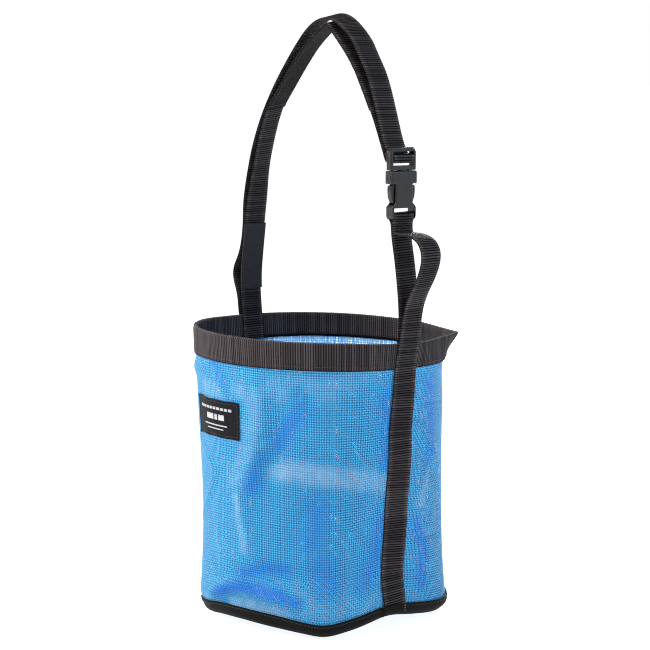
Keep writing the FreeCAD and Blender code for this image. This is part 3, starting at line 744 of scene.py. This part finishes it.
def ring_from_line(offsets, levels, theta, thick, base_level, hold):
    """A closed ring round a line of (offset, level) points: its outer side, then its inner side back.

    The points are given from the outer end to the inner one, and hold(theta, z) says at which level the wall is
    followed.
    """
    offsets, levels = np.array(offsets)[::-1], np.array(levels)[::-1]
    line = np.stack([offsets, levels], axis=1)
    way = unit(np.gradient(line, axis=0))
    side = np.stack([-way[:, 1], way[:, 0]], axis=1)
    outer, inner = line + side * thick / 2, line - side * thick / 2
    flat = np.concatenate([outer, inner[::-1]])
    push = np.concatenate([side, -side[::-1]])
    share = np.concatenate([np.ones(len(line)), np.zeros(len(line))])
    share[[0, len(line) - 1]] = 0.3
    # Above the crest the ribs take a raised share: deeper relief, and a painted highlight along the rim's fold.
    share[: len(line)][levels > RIM_CREST] = 1.35
    z = flat[None, :, 1] + base_level[:, None]
    t = np.repeat(theta[:, None], len(flat), axis=1)
    reference = hold(t, z)
    radius = wall_radius(t, reference)
    out = wall_normal(t, reference, level=True)
    ring = polar(radius, t, z) + out * flat[None, :, :1]
    normals = unit(out * push[None, :, :1] + np.array([0, 0, 1.0]) * push[None, :, 1:])
    return ring, share, normals


def make_rim():
    offsets = [1.45, 1.5, 1.5, 1.5, 1.5, 1.5, 1.5, 1.35, 0.75, 0.0, -0.75, -1.35, -1.5, -1.5, -1.5, -1.5, -1.45]
    levels = [262.6, 264, 268, 272.5, 277, 281.5, 285.3, 287.2, 288.3]
    levels += [288.7, 288.3, 287.2, 285.3, 280, 274, 268, 263.4]

    def section(theta):
        sway = 0.5 * np.sin(3 * theta + 0.6) + 0.35 * np.sin(7 * theta + 2.1)
        rise = (mouth(theta) - MOUTH)[:, None]

        def tilt(z):
            return rise * (0.66 + 0.34 * smoothstep(262, 288, z))

        def hold(t, z):
            return np.minimum(z + tilt(z), MOUTH)

        ring, share, normals = ring_from_line(offsets, levels, theta, 1.5, 0 * theta, hold)
        ring[..., 2] += tilt(ring[..., 2])
        ring[..., 2] += sway[:, None] * 0.5 * smoothstep(289, 264, ring[..., 2])
        return ring, share, normals

    return band("rim_band", section, 336, 5, 0.5, RIM_WEBBING_PAINTED_LIGHTER)


STRAP_BULGE = 3.0  # how far the binding stands out where it passes over the ends of the side webbings


def make_binding():
    offsets = [1.35, 1.4, 1.4, 1.3, 1.1, 0.9, 0.6, -1.0, -4.0, -8.0, -11.5]
    levels = [11.8, 11.0, 9.0, 6.5, 4.2, 2.4, 0.9, -0.45, -0.7, -0.5, -0.3]

    def section(theta):
        low = lift(theta)

        def hold(t, z):
            return np.maximum(z, (low + 0.6)[:, None])

        ring, share, normals = ring_from_line(offsets, levels, theta, 1.3, low, hold)
        gap = np.abs((theta + math.pi / 2) % math.pi - math.pi / 2) * CLOTH_RADIUS
        bulge = STRAP_BULGE * smoothstep(17, 13, gap)[:, None] * smoothstep(-0.5, 2.5, ring[..., 2] - low[:, None])
        out = unit(polar(1.0, theta, 0 * theta))
        return ring + out[:, None] * bulge[..., None], share, normals

    return band("bottom_binding", section, 620, 4, 0.3, TAPE)


# --- webbing strands ----------------------------------------------------------------------------------------------


def flat_ring(columns, width, thick, lip):
    """Points (across, outward) round a flat section, whose edges stand at plus and minus lip x thick."""
    half, across = width / 2, np.array(columns) * width / 2
    top = [(x, thick / 2) for x in across]
    bottom = [(x, -thick / 2) for x in across[::-1]]
    left, right = ((-half, thick * lip), (-half, -thick * lip)), ((half, thick * lip), (half, -thick * lip))
    return np.array([left[0], *top, *right, *bottom, left[1]])


def frames_along(centre, twist):
    """Across and outward directions along a strand that lies near the XZ plane, turned by a twist in radians."""
    way = unit(np.gradient(centre, axis=0))
    across = np.repeat(np.array([[0.0, 1.0, 0.0]]), len(centre), axis=0)
    across = unit(across - way * np.sum(across * way, axis=1, keepdims=True))
    out = np.cross(across, way)
    c, s = np.cos(twist)[:, None], np.sin(twist)[:, None]
    return across * c + out * s, out * c - across * s


def swept(centre, directions, ring, x, y, width):
    """Points and UVs of a section swept along a line, with each row's own offsets x across and y outwards."""
    across, out = directions
    points = centre[:, None] + across[:, None] * x[..., None] + out[:, None] * y[..., None]
    run = length_along(centre)
    uv = np.stack([np.repeat((ring[:, 0] + width)[None], len(run), 0), np.repeat(run[:, None], len(ring), 1)], -1)
    return points, uv * MM


STRAP_WIDE, STRAP_THICK, STRAP_RELIEF = 25.0, 1.8, 0.6


def strand(centre, twist, rows=slice(None)):
    """Ribbed webbing along evenly spaced points: the mesh data for new_mesh."""
    run = length_along(centre)
    width = STRAP_WIDE
    ring = flat_ring((-0.93, -0.55, 0.0, 0.55, 0.93), width, STRAP_THICK, 0.22)
    share = np.array([0.5, 1, 1, 1, 1, 1, 0.5, 0.5, 1, 1, 1, 1, 1, 0.5])
    order = np.floor(run / RIB).astype(int)
    strength = rng.uniform(0.75, 1.1, order.max() + 2)[order]
    high = np.abs(np.sin(np.pi * run / RIB)) ** 0.7 * strength
    edge = 1 + 0.012 * (high - 0.5)
    x = ring[None, :, 0] * np.where(np.abs(ring[None, :, 0]) > width * 0.49, edge[:, None], 1.0)
    y = ring[None, :, 1] - np.sign(ring[None, :, 1]) * share[None] * (1 - high)[:, None] * STRAP_RELIEF / 2
    points, uv = swept(centre, frames_along(centre, twist), ring, x, y, width)
    # Ribs at both strap edges get a raised value, which the webbing paints as glints on the rib ends.
    rib = high[:, None] * share[None] * np.where(np.abs(ring[:, 0]) > width * 0.45, 1.55, 1.0)[None]
    points, uv, rib = points[rows], uv[rows], rib[rows]
    return points, capped(len(points), len(ring)), uv, rib


STEP = RIB / 6
RIM_OUT, RIM_IN = 3.25, 3.2  # middle of the webbing from the wall, over the rim and inside it


def on_wall(bearing, twist=0.0):
    """The middle line (radius, level) of webbing up the wall and over the rim, for a strand turned by a twist."""
    theta = math.radians(bearing)
    low = float(lift(np.array([theta]))[0])
    levels = np.concatenate([[low + 2.5, low + 8, low + 14], np.arange(low + 24, 250, 14.0), [256.0, 261.5]])
    sides = np.array([-12.5, -8.0, -4.0, 0.0, 4.0, 8.0, 12.5])
    t, z = np.meshgrid(theta + sides / 118, levels, indexing="ij")
    depth = wall_radius(t, z) * np.cos(t - theta) - sides[:, None] * math.tan(twist)
    radius = depth.max(axis=0) + 1.35
    line = list(zip(radius, levels))
    for z in (266.0, 272.0, 279.0, 285.5):
        line.append((float(wall_radius(theta, z)) + RIM_OUT, z))
    return line


def inside_tab(bearing):
    """The middle line of the strand sewn down inside the rim, top to bottom."""
    theta = math.radians(bearing)
    return [(float(wall_radius(theta, z)) - RIM_IN, z) for z in (288.0, 282.0, 275.0, 269.0, 263.5)]


RIGHT_LEG = [
    (131.3, 295), (132.0, 308), (136.5, 324), (144, 337), (153, 350), (160, 367), (158, 379), (150, 386.5),
    (137, 389.8), (126, 389.6), (119.6, 389.8), (118.9, 394), (118.8, 400), (120.4, 403), (121.1, 405.5),
    (120.8, 409.0), (117.0, 409.3), (113.2, 409.0), (112.9, 405.5), (113.6, 403), (116.5, 399.6), (116.7, 386),
    (121.2, 360), (124.6, 322), (124.5, 297),
]
LEFT_OUTER = [(-131.3, 295), (-133.0, 310), (-141, 328), (-140, 339), (-131, 352), (-125.5, 367), (-122.8, 385)]
LEFT_INNER = [(-124.5, 296), (-126, 310), (-126.8, 322), (-126.4, 338), (-119.8, 380), (-118, 391)]
CROWN = [
    (-122.2, 400), (-121.4, 413), (-117, 439), (-109.8, 464), (-92, 500), (-67, 534), (-38, 566), (-14, 588),
    (8, 597), (31, 593), (57, 574), (66, 560), (79, 542), (87, 525), (95.5, 502), (104, 478), (109.8, 468),
    (112.6, 464.6), (117, 464.1), (120.9, 463.6), (121.2, 460.5), (120.9, 457.4), (117, 456.9), (112, 456.9),
    (108.8, 457.6), (107.0, 461), (103.5, 469), (92, 494), (79.5, 517), (58, 552), (24, 586.0), (18.5, 591.0),
    (12, 589.4), (-21, 569.5), (-44.5, 547), (-66, 524), (-86, 503), (-106.5, 450), (-116.6, 400),
]
# Sideways wander of the right strand: (share of its length, millimetres towards +Y).
RIGHT_SWAY = ((0, 3.6), (0.03, 1.6), (0.07, -0.6), (0.13, 1.2), (0.2, 0.2), (0.26, 1.4), (0.31, -0.4), (0.38, 0.8),
              (0.44, 0), (0.5, 1.2), (0.62, 1.2), (0.7, 0), (0.76, 0), (0.9, 3.6), (1, 3.6))
# Turn along the strands: (share of the length, degrees).
RIGHT_TWIST = ((0, 4), (0.06, 8), (0.3, 9), (0.4, 5), (0.46, 1), (0.54, -5), (0.62, -3), (0.68, 0), (1, 0))
LEFT_TWIST = ((0, -3), (0.12, 2), (0.3, 0), (0.38, 1), (0.5, -1), (0.6, 0), (1, 0))
SEAM = 400.0  # level where the left strands are parted from the crown
CROWN_LEAN = 12.0  # degrees that the crown's two layers turn apart


def as_line(pairs):
    """Points (x, z) as a line in space."""
    return np.array([(x, 0.0, z) for x, z in pairs])


def twist_by(centre, knots):
    """The strand's twist in radians along its length, through (share of the length, degrees)."""
    return np.radians(hermite(np.linspace(0, 1, len(centre)), *np.transpose(knots)))


def make_right_strand():
    """From the binding up the wall, over the rim, out in a slack loop to the buckle and back down inside."""
    line = on_wall(0, math.radians(8)) + RIGHT_LEG + inside_tab(0)
    centre = bspline(as_line(line), STEP)
    run = np.linspace(0, 1, len(centre))
    sway = np.interp(run, *np.transpose(RIGHT_SWAY))
    kernel = np.hanning(81)
    padded = np.pad(sway, 40, mode="edge")
    centre[:, 1] += np.convolve(padded, kernel / kernel.sum(), mode="valid")
    twist = twist_by(centre, RIGHT_TWIST)
    piece = new_mesh("strap_strand_right", *strand(centre, twist))
    return dress(piece, WEBBING)


def left_lines():
    """Both left strands' middle lines, from the bag up through the crown, as one closed run down the other side."""
    outer = on_wall(180)
    up = [(-x, z) for x, z in outer] + LEFT_OUTER + CROWN
    down = LEFT_INNER[::-1] + [(-x, z) for x, z in inside_tab(180)]
    return bspline(as_line(up + down), STEP)


def crown_lean(line):
    """How far the crown's two layers turn away towards its left side, in radians along a line."""
    return math.radians(CROWN_LEAN) * smoothstep(400, 455, line[:, 2]) * smoothstep(62, 2, line[:, 0])


def make_left_strands():
    centre = left_lines()
    twist = twist_by(centre, LEFT_TWIST)
    coming_back = np.arange(len(centre)) > np.argmax(centre[:, 0])
    twist += np.where(coming_back, 1, -1) * crown_lean(centre)
    level = centre[:, 2]
    first = int(np.argmax(level > SEAM))
    last = len(level) - 1 - int(np.argmax(level[::-1] > SEAM))
    state = rng.bit_generator.state
    made = {}
    spans = {"outer": slice(0, first + 1), "crown": slice(first, last + 1), "inner": slice(last, None)}
    for key, rows in spans.items():
        rng.bit_generator.state = state
        made[key] = strand(centre, twist, rows=rows)
    names = (("strap_strand_left_outer", "outer"), ("strap_strand_left_inner", "inner"), ("crown_strand", "crown"))
    pieces = [dress(new_mesh(name, *made[key]), WEBBING) for name, key in names]
    return *pieces, centre, (first, last)


def strip_along(name, centre, width, thick, shift, material, fuzz):
    """A flat strip lying on one side of a strand, shift away from its middle line, with soft unevenness."""
    ring = flat_ring((-0.97, -0.8, -0.6, -0.4, -0.2, 0.0, 0.2, 0.4, 0.6, 0.8, 0.97), width, thick, 0.3)
    count = len(centre)
    rough = rng.normal(0, fuzz, (count, len(ring)))
    y = ring[None, :, 1] + np.where(np.sign(ring[None, :, 1]) == np.sign(shift), rough, 0) + shift
    x = ring[None, :, 0] + np.where(np.abs(ring[None, :, 0]) > width * 0.49, rough * 0.8, 0)
    points, uv = swept(centre, frames_along(centre, crown_lean(centre)), ring, x, y, width)
    piece = new_mesh(name, points, capped(count, len(ring)), uv, np.zeros(points.shape[:2]))
    return dress(piece, material)


def between(centre, low, high):
    """The stretch of a line whose levels lie between two heights, in its order."""
    inside = np.where((centre[:, 2] >= low) & (centre[:, 2] <= high))[0]
    return centre[inside[0] : inside[-1] + 1]


# --- thread -------------------------------------------------------------------------------------------------------


def grains(name, centres, ways, outs, length, width, height, material=None, slot="thread", jitter=0.12):
    """Stitches: short rounded grains of thread at points, lying along directions."""
    centres, ways, outs = (np.asarray(a, float).reshape(-1, 3) for a in (centres, ways, outs))
    ways = unit(ways)
    outs = unit(outs - ways * np.sum(outs * ways, axis=1, keepdims=True))
    sides = np.cross(ways, outs)
    count = len(centres)
    spots = np.array([-1.0, -0.72, 0.0, 0.72, 1.0])
    swell = np.array([0.25, 0.8, 1.0, 0.8, 0.25])
    dip = np.array([-0.75, -0.15, 0.15, -0.15, -0.75]) * height
    ring = 6
    angle = np.arange(ring) / ring * TAU
    lean = rng.normal(0, jitter, count)
    ways = unit(ways + sides * lean[:, None])
    points = (
        centres[:, None, None]
        + ways[:, None, None] * (spots * length / 2)[None, :, None, None]
        + sides[:, None, None] * (np.cos(angle)[None] * swell[:, None] * width / 2)[None, ..., None]
        + outs[:, None, None] * (np.sin(angle)[None] * swell[:, None] * height / 2 + dip[:, None])[None, ..., None]
    )
    quads = capped(len(spots), ring)
    step = len(spots) * ring
    quads = quads[None] + (np.arange(count) * step)[:, None, None]
    piece = new_mesh(name, points, quads)
    return dress(piece, material or THREAD)


def row_on_wall(theta, level, off, low_edge=False):
    """Points, directions and normals of a row of stitches round the bag."""
    z = level + (lift(theta) if low_edge else 0 * theta)
    point = wall_point(theta, np.clip(z, None, MOUTH), np.full(len(theta), off))
    ahead = wall_point(theta + 0.002, np.clip(z, None, MOUTH), np.full(len(theta), off))
    return point, ahead - point, wall_normal(theta, z, level=True)


def clear_of_strap(theta):
    """Bearings that aren't under the side webbings."""
    return theta[np.abs((theta + math.pi / 2) % math.pi - math.pi / 2) > 14.0 / 126.0]


def make_rim_thread():
    theta = clear_of_strap(np.arange(250) / 250 * TAU)
    level = 266.4 + 0.68 * (mouth(theta) - MOUTH)
    centres, ways, outs = join_rows([row_on_wall(theta, level, off) for off in (2.35, -2.35)])
    outs[len(theta):] *= -1
    return grains("rim_stitches", centres, ways, outs, 2.6, 0.75, 0.55)


def make_binding_thread():
    theta = np.arange(246) / 246 * TAU
    centres, ways, outs = row_on_wall(theta, 9.2, 2.1, low_edge=True)
    return grains("binding_stitches", centres, ways, outs, 2.4, 0.6, 0.45)


def segment_row(start, end, out, count):
    """Centres, directions and normals of stitches evenly spaced from one point to another."""
    start, end = np.array(start, float), np.array(end, float)
    share = (np.arange(count) + 0.5) / count
    centres = start + (end - start) * share[:, None]
    return centres, np.repeat((end - start)[None], count, 0), np.repeat(np.array([out], float), count, 0)


def join_rows(rows):
    return tuple(np.concatenate([r[k] for r in rows]) for k in range(3))


TACK_LEVELS, TACK_HALF = (266.5, 275.5, 284.5), 10.5
BOX_X, BOX_LOW, BOX_HIGH, BOX_HALF = 119.85, 392.6, 400.2, 10.0


def make_tacks():
    """The seams that hold the side webbings to the rim: three across and two up on each side."""
    rows = []
    for side, theta in ((1, 0.0), (-1, math.pi)):
        x = [side * (float(wall_radius(theta, z)) + RIM_OUT + 1.05) for z in TACK_LEVELS]
        for near, z in zip(x, TACK_LEVELS):
            rows.append(segment_row((near, -TACK_HALF, z), (near, TACK_HALF, z), (side, 0, 0), 8))
        for y in (-TACK_HALF, TACK_HALF):
            rows.append(segment_row((x[0], y, TACK_LEVELS[0]), (x[-1], y, TACK_LEVELS[-1]), (side, 0, 0), 7))
    return grains("rim_tack_stitches", *join_rows(rows), 2.3, 0.75, 0.55)


def make_box_stitch():
    """A box with a cross in it, under the buckle."""
    corners = {-1: BOX_LOW, 1: BOX_HIGH}
    lines = ((-1, -1, 1, -1, 9), (-1, 1, 1, 1, 9), (-1, -1, -1, 1, 3), (1, -1, 1, 1, 3))
    lines += ((-1, -1, 1, 1, 9), (-1, 1, 1, -1, 9))
    rows = [
        segment_row((BOX_X, y0 * BOX_HALF, corners[z0]), (BOX_X, y1 * BOX_HALF, corners[z1]), (1, 0, 0), count)
        for y0, z0, y1, z1, count in lines
    ]
    return grains("box_stitches", *join_rows(rows), 2.0, 0.75, 0.55)


def strip_rows(name, line, width, depth):
    """Stitches along both edges and across both ends of a strip that lies under a line."""
    across, out = frames_along(line, crown_lean(line))
    face = line + out * depth
    run = length_along(face)
    at = np.arange(2.0, run[-1] - 1.0, 3.0)
    face_at = sampled(at, run, face)
    way_at = unit(np.gradient(face_at, axis=0))
    out_at = sampled(at, run, out) * math.copysign(1, depth)
    across_at = sampled(at, run, across)
    rows = [(face_at + across_at * y, way_at, out_at) for y in (-width / 2 + 1.8, width / 2 - 1.8)]
    for end in (0, -1):
        reach = across_at[end] * (width / 2 - 2.2)
        rows.append(segment_row(face_at[end] - reach, face_at[end] + reach, out_at[end], 8))
    return grains(name, *join_rows(rows), 2.3, 0.7, 0.5)


# --- label --------------------------------------------------------------------------------------------------------

LABEL_BEARING, LABEL_LEVEL, LABEL_WIDE, LABEL_HIGH = -96.0, 208.0, 72.0, 36.5
LABEL_RADIUS = 125.5
LABEL_SEAM_U, LABEL_SEAM_V = 0.94, 0.87
MARK_COLUMNS, MARK_ROWS = 41, 4


def label_point(u, v, off):
    """A point of the label: u and v from -1 to 1 across and up, off its distance from the wall."""
    theta = math.radians(LABEL_BEARING) + u * LABEL_WIDE / 2 / LABEL_RADIUS
    pull = 1.3 * np.exp(-(((u + 1) / 0.35) ** 2)) * np.sign(v) * np.abs(v) ** 3 * 0.6
    wave = 0.35 * np.sin(9 * u + 1.3) * np.abs(v) ** 4 + 0.25 * np.sin(7 * v + 0.4) * np.abs(u) ** 4
    z = LABEL_LEVEL + v * LABEL_HIGH / 2 + pull + wave
    curl = 0.9 * np.abs(v) ** 10 * (0.5 + 0.5 * np.sin(11 * u + 0.7)) + 0.5 * np.abs(u) ** 12
    return wall_point(theta, z, off + curl * 0.8)


def slab(u_range, v_range, columns, rows, low, high):
    """A thin closed patch of the label's cloth between two distances from the wall: points, faces and UVs."""
    u, v = np.meshgrid(np.linspace(*u_range, columns), np.linspace(*v_range, rows), indexing="ij")
    top, bottom = label_point(u, v, np.full(u.shape, high)), label_point(u, v, np.full(u.shape, low))
    count = columns * rows
    quads = grid_quads(columns, rows)
    index = np.arange(count).reshape(columns, rows)
    edge = np.concatenate([index[:-1, 0], index[-1, :-1], index[:0:-1, -1], index[0, :0:-1]])
    after = np.roll(edge, -1)
    skirt = np.stack([edge, after, after + count, edge + count], axis=1)
    points = np.concatenate([top.reshape(-1, 3), bottom.reshape(-1, 3)])
    uv = np.stack([u * LABEL_WIDE / 2, v * LABEL_HIGH / 2], axis=-1).reshape(-1, 2) * MM
    return points, np.concatenate([quads[:, ::-1], quads + count, skirt]), np.concatenate([uv, uv])


def make_label():
    points, quads, uv = slab((-1, 1), (-1, 1), 61, 33, 0.55, 1.25)
    return dress(new_mesh("label_patch", points, quads, uv), LABEL)


def make_label_marks():
    """Plain satin-stitched dashes, blocks and lines: nothing that can be read."""
    dashes = [((-0.74 + 0.168 * k, -0.62 + 0.168 * k), (0.46, 0.60)) for k in range(9)]
    blocks = [((-0.40, -0.06), (-0.08, 0.22)), ((0.0, 0.12), (-0.08, 0.22)), ((0.18, 0.42), (-0.08, 0.22))]
    lines = [((-0.54, 0.54), (-0.40, -0.34)), ((-0.40, 0.38), (-0.60, -0.55))]
    parts, start = [], 0
    for u_range, v_range in dashes + blocks + lines:
        points, quads, uv = slab(u_range, v_range, MARK_COLUMNS, MARK_ROWS, 1.2, 1.55)
        ripple = np.tile(np.repeat(np.arange(MARK_COLUMNS) % 2, MARK_ROWS), 2)[:, None] * 0.10
        points = points + unit(points * np.array([1, 1, 0])) * ripple
        parts.append((points, quads + start, uv))
        start += len(points)
    return dress(new_mesh("label_marks", *join_rows(parts)), PALE)


def make_label_thread():
    rows = []
    corners = [(u * LABEL_SEAM_U, v * LABEL_SEAM_V) for u, v in ((-1, -1), (1, -1), (1, 1), (-1, 1), (-1, -1))]
    for (u0, v0), (u1, v1), count in zip(corners[:-1], corners[1:], (30, 14, 30, 14)):
        share = (np.arange(count) + 0.5) / count
        u, v = u0 + (u1 - u0) * share, v0 + (v1 - v0) * share
        point = label_point(u, v, np.full(count, 1.4))
        ahead = label_point(u + 0.01 * (u1 - u0), v + 0.01 * (v1 - v0), np.full(count, 1.4))
        rows.append((point, ahead - point, unit(point * np.array([1, 1, 0]))))
    return grains("label_stitches", *join_rows(rows), 1.7, 0.5, 0.4)


# --- buckle -------------------------------------------------------------------------------------------------------


def make_shell(node):
    """A moulded copy of one of the buckle's CAD solids: the same form with its edges rounded."""
    mesh = bmesh.new()
    mesh.from_mesh(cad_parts[node].data)
    bmesh.ops.remove_doubles(mesh, verts=mesh.verts, dist=0.00002)
    bmesh.ops.dissolve_limit(mesh, angle_limit=math.radians(1.0), verts=mesh.verts, edges=mesh.edges)
    data = bpy.data.meshes.new(node + "_shell")
    mesh.to_mesh(data)
    mesh.free()
    piece = add_object(node + "_moulded", data)
    data.polygons.foreach_set("use_smooth", np.full(len(data.polygons), True))
    bevel = piece.modifiers.new("edges", "BEVEL")
    bevel.width, bevel.segments = 0.45 * MM, 2
    bevel.limit_method, bevel.angle_limit = "ANGLE", math.radians(30)
    piece.modifiers.new("normals", "WEIGHTED_NORMAL").weight = 100
    graph = bpy.context.evaluated_depsgraph_get()
    piece.data = bpy.data.meshes.new_from_object(piece.evaluated_get(graph))
    piece.modifiers.clear()
    piece.data.materials.clear()
    return dress(piece, PLASTIC)


RIDGE_Y = 15.5  # where the buckle's grip ridges lie, to both sides


def make_ridges(name, places, level, length):
    """Upright grip ridges on both sides of the buckle."""
    spots = [(x, y, level) for x in places for y in (-RIDGE_Y, RIDGE_Y)]
    ways, outs = [(0, 0, 1)] * len(spots), [(0, y, 0) for _, y, _ in spots]
    return grains(name, spots, ways, outs, length, 1.1, 0.8, PLASTIC, "buckle_plastic", 0.0)


# --- put the pieces together --------------------------------------------------------------------------------------

FOLDING = ("bag", "strap_loop", *FOLD)
GIVING = ("strap_loop", "crown", *STRETCH)
LADDER_TURN = (112, 456.9)  # where (x, z) the crown's webbing leaves the ladder's middle bar

wall = make_wall()
base = make_base()
rim = make_rim()
binding = make_binding()
right = make_right_strand()
outer, inner, crown, left_centre, (first, last) = make_left_strands()

patch_line = even(between(left_centre[last:], 316.5, 385.5), 1.0)
patch = strip_along("hook_patch_strip", patch_line, 26.4, 1.1, -1.4, HOOK, 0.05)
patch_rows = strip_rows("hook_patch_stitches", patch_line, 26.4, -2.0)

run_back = left_centre[first : last + 1]
turn = int(np.argmin(np.hypot(run_back[:, 0] - LADDER_TURN[0], run_back[:, 2] - LADDER_TURN[1])))
under = run_back[turn:]
x, z = under[:, 0], under[:, 2]
loop_line = even(under[(z > 506) | ((x < 84) & (x > -74) & (z > 504))], 1.0)
loop = strip_along("loop_strip_pile", loop_line, 25.0, 1.1, -1.4, LOOP_PAINTED_SHADE, 0.09)
loop_rows = strip_rows("loop_strip_stitches", loop_line, 25.0, -2.05)

label = make_label()
marks = make_label_marks()
label_rows = make_label_thread()
rim_rows = make_rim_thread()
binding_rows = make_binding_thread()
tacks = make_tacks()
box_rows = make_box_stitch()

for piece, nodes, bend in (
    (right, ("right_side_webbing", "right_leg_webbing", "right_inner_tab"), FOLDING),
    (outer, ("left_side_webbing", "left_outer_leg"), FOLDING),
    (inner, ("left_inner_tab", "left_inner_leg"), FOLDING),
    (crown, ("crown_outer_webbing", "crown_inner_webbing"), GIVING),
    (patch, ("hook_patch",), FOLDING),
    (patch_rows, ("patch_thread",), FOLDING),
    (loop, ("loop_strip",), GIVING),
    (loop_rows, ("strip_thread",), GIVING),
):
    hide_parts(*nodes)
    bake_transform(piece)

for piece, node, body in (
    (wall, "mesh_wall", "bag"),
    (base, "base_panel", "bag"),
    (rim, "rim_webbing", "bag"),
    (binding, "base_binding", "bag"),
    (label, "label", "bag"),
    (label_rows, "label_thread", "bag"),
    (rim_rows, "rim_thread", "bag"),
    (binding_rows, "binding_thread", "bag"),
    (tacks, "rim_tack_thread", "bag"),
    (box_rows, "box_stitch_thread", "strap_loop"),
    (make_shell("female_buckle"), "female_buckle", "strap_loop"),
    (make_shell("male_buckle"), "male_buckle", "crown"),
    (make_shell("front_prong"), "front_prong", "front_catch"),
    (make_shell("rear_prong"), "rear_prong", "rear_catch"),
):
    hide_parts(node)
    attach(piece, body)

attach(marks, "bag")
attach(make_ridges("ladder_ridges", (115.3, 118.7), 460.6, 19.0), "crown")
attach(make_ridges("shoulder_ridges", (114.4, 119.4), 442.6, 10.5), "strap_loop")

# --- stage --------------------------------------------------------------------------------------------------------


SKY = 0.32  # what the surroundings light the bag with; they look white to the camera
FLOOR_REACH, FLOOR_LEVEL, FLOOR_LINES = 60000, -0.6, 40
CAMERA_AWAY, CAMERA_HIGH = 1.95, 0.54
CAMERA_AZIMUTH, CAMERA_PITCH = math.radians(52), math.radians(7.3)
LENS, SENSOR = 108.7, 36.0


def make_floor():
    """A wide white floor that emits light of its own, as paper over a light box."""
    x = np.linspace(-FLOOR_REACH, FLOOR_REACH, FLOOR_LINES)
    points = [(a, b, FLOOR_LEVEL) for a in x for b in x]
    floor = new_mesh("floor", np.array(points), grid_quads(FLOOR_LINES, FLOOR_LINES)[:, ::-1])
    n = Nodes("floor_paper")
    inputs = {"Base Color": (0.5, 0.5, 0.5, 1), "Roughness": 0.9, "Specular IOR Level": 0.1}
    inputs |= {"Emission Color": (1, 1, 1, 1), "Emission Strength": 0.88}
    floor.data.materials.append(n.finish(n.made("ShaderNodeBsdfPrincipled", "BSDF", inputs)))


def area_light(name, place, target, size, watts, colour=(1, 1, 1)):
    lamp = bpy.data.lights.new(name, "AREA")
    lamp.shape = "DISK"
    lamp.size = size
    lamp.energy = watts
    lamp.color = colour
    holder = add_object(name, lamp)
    holder.location = place
    holder.rotation_euler = (Vector(target) - Vector(place)).to_track_quat("-Z", "Y").to_euler()


def make_light():
    world = bpy.data.worlds.new("studio")
    world.use_nodes = True
    tree = world.node_tree
    sky, seen = tree.nodes["Background"], tree.nodes.new("ShaderNodeBackground")
    for background, strength in ((sky, SKY), (seen, 1.0)):
        background.inputs["Color"].default_value = (1, 1, 1, 1)
        background.inputs["Strength"].default_value = strength
    path = tree.nodes.new("ShaderNodeLightPath")
    mixed = tree.nodes.new("ShaderNodeMixShader")
    tree.links.new(path.outputs["Is Camera Ray"], mixed.inputs[0])
    tree.links.new(sky.outputs[0], mixed.inputs[1])
    tree.links.new(seen.outputs[0], mixed.inputs[2])
    tree.links.new(mixed.outputs[0], tree.nodes["World Output"].inputs["Surface"])
    bpy.context.scene.world = world
    area_light("key", (-1.0, -2.2, 1.6), (0, 0, 0.28), 1.1, 80)
    area_light("side", (2.2, 1.2, 1.2), (0, 0, 0.3), 0.9, 30, (0.46, 0.74, 1.0))
    area_light("top", (0.3, -0.6, 2.4), (0, 0, 0.25), 1.0, 16)
    area_light("back", (-1.3, 1.9, 0.9), (0, 0, 0.26), 0.9, 50)
    area_light("left", (-2.2, -0.6, 0.8), (0, 0, 0.4), 0.7, 13, (0.86, 0.93, 1.0))


def make_camera():
    camera = bpy.data.cameras.new("camera")
    camera.lens, camera.sensor_width = LENS, SENSOR
    holder = add_object("camera", camera)
    side, front = math.sin(CAMERA_AZIMUTH), math.cos(CAMERA_AZIMUTH)
    holder.location = (CAMERA_AWAY * side, -CAMERA_AWAY * front, CAMERA_HIGH)
    level = math.cos(CAMERA_PITCH)
    ahead = Vector((-side * level, front * level, -math.sin(CAMERA_PITCH)))
    holder.rotation_euler = ahead.to_track_quat("-Z", "Y").to_euler()
    bpy.context.scene.camera = holder


make_floor()
make_light()
make_camera()
bpy.context.scene.view_settings.view_transform = "Standard"
bpy.context.scene.cycles.filter_width = 1.1
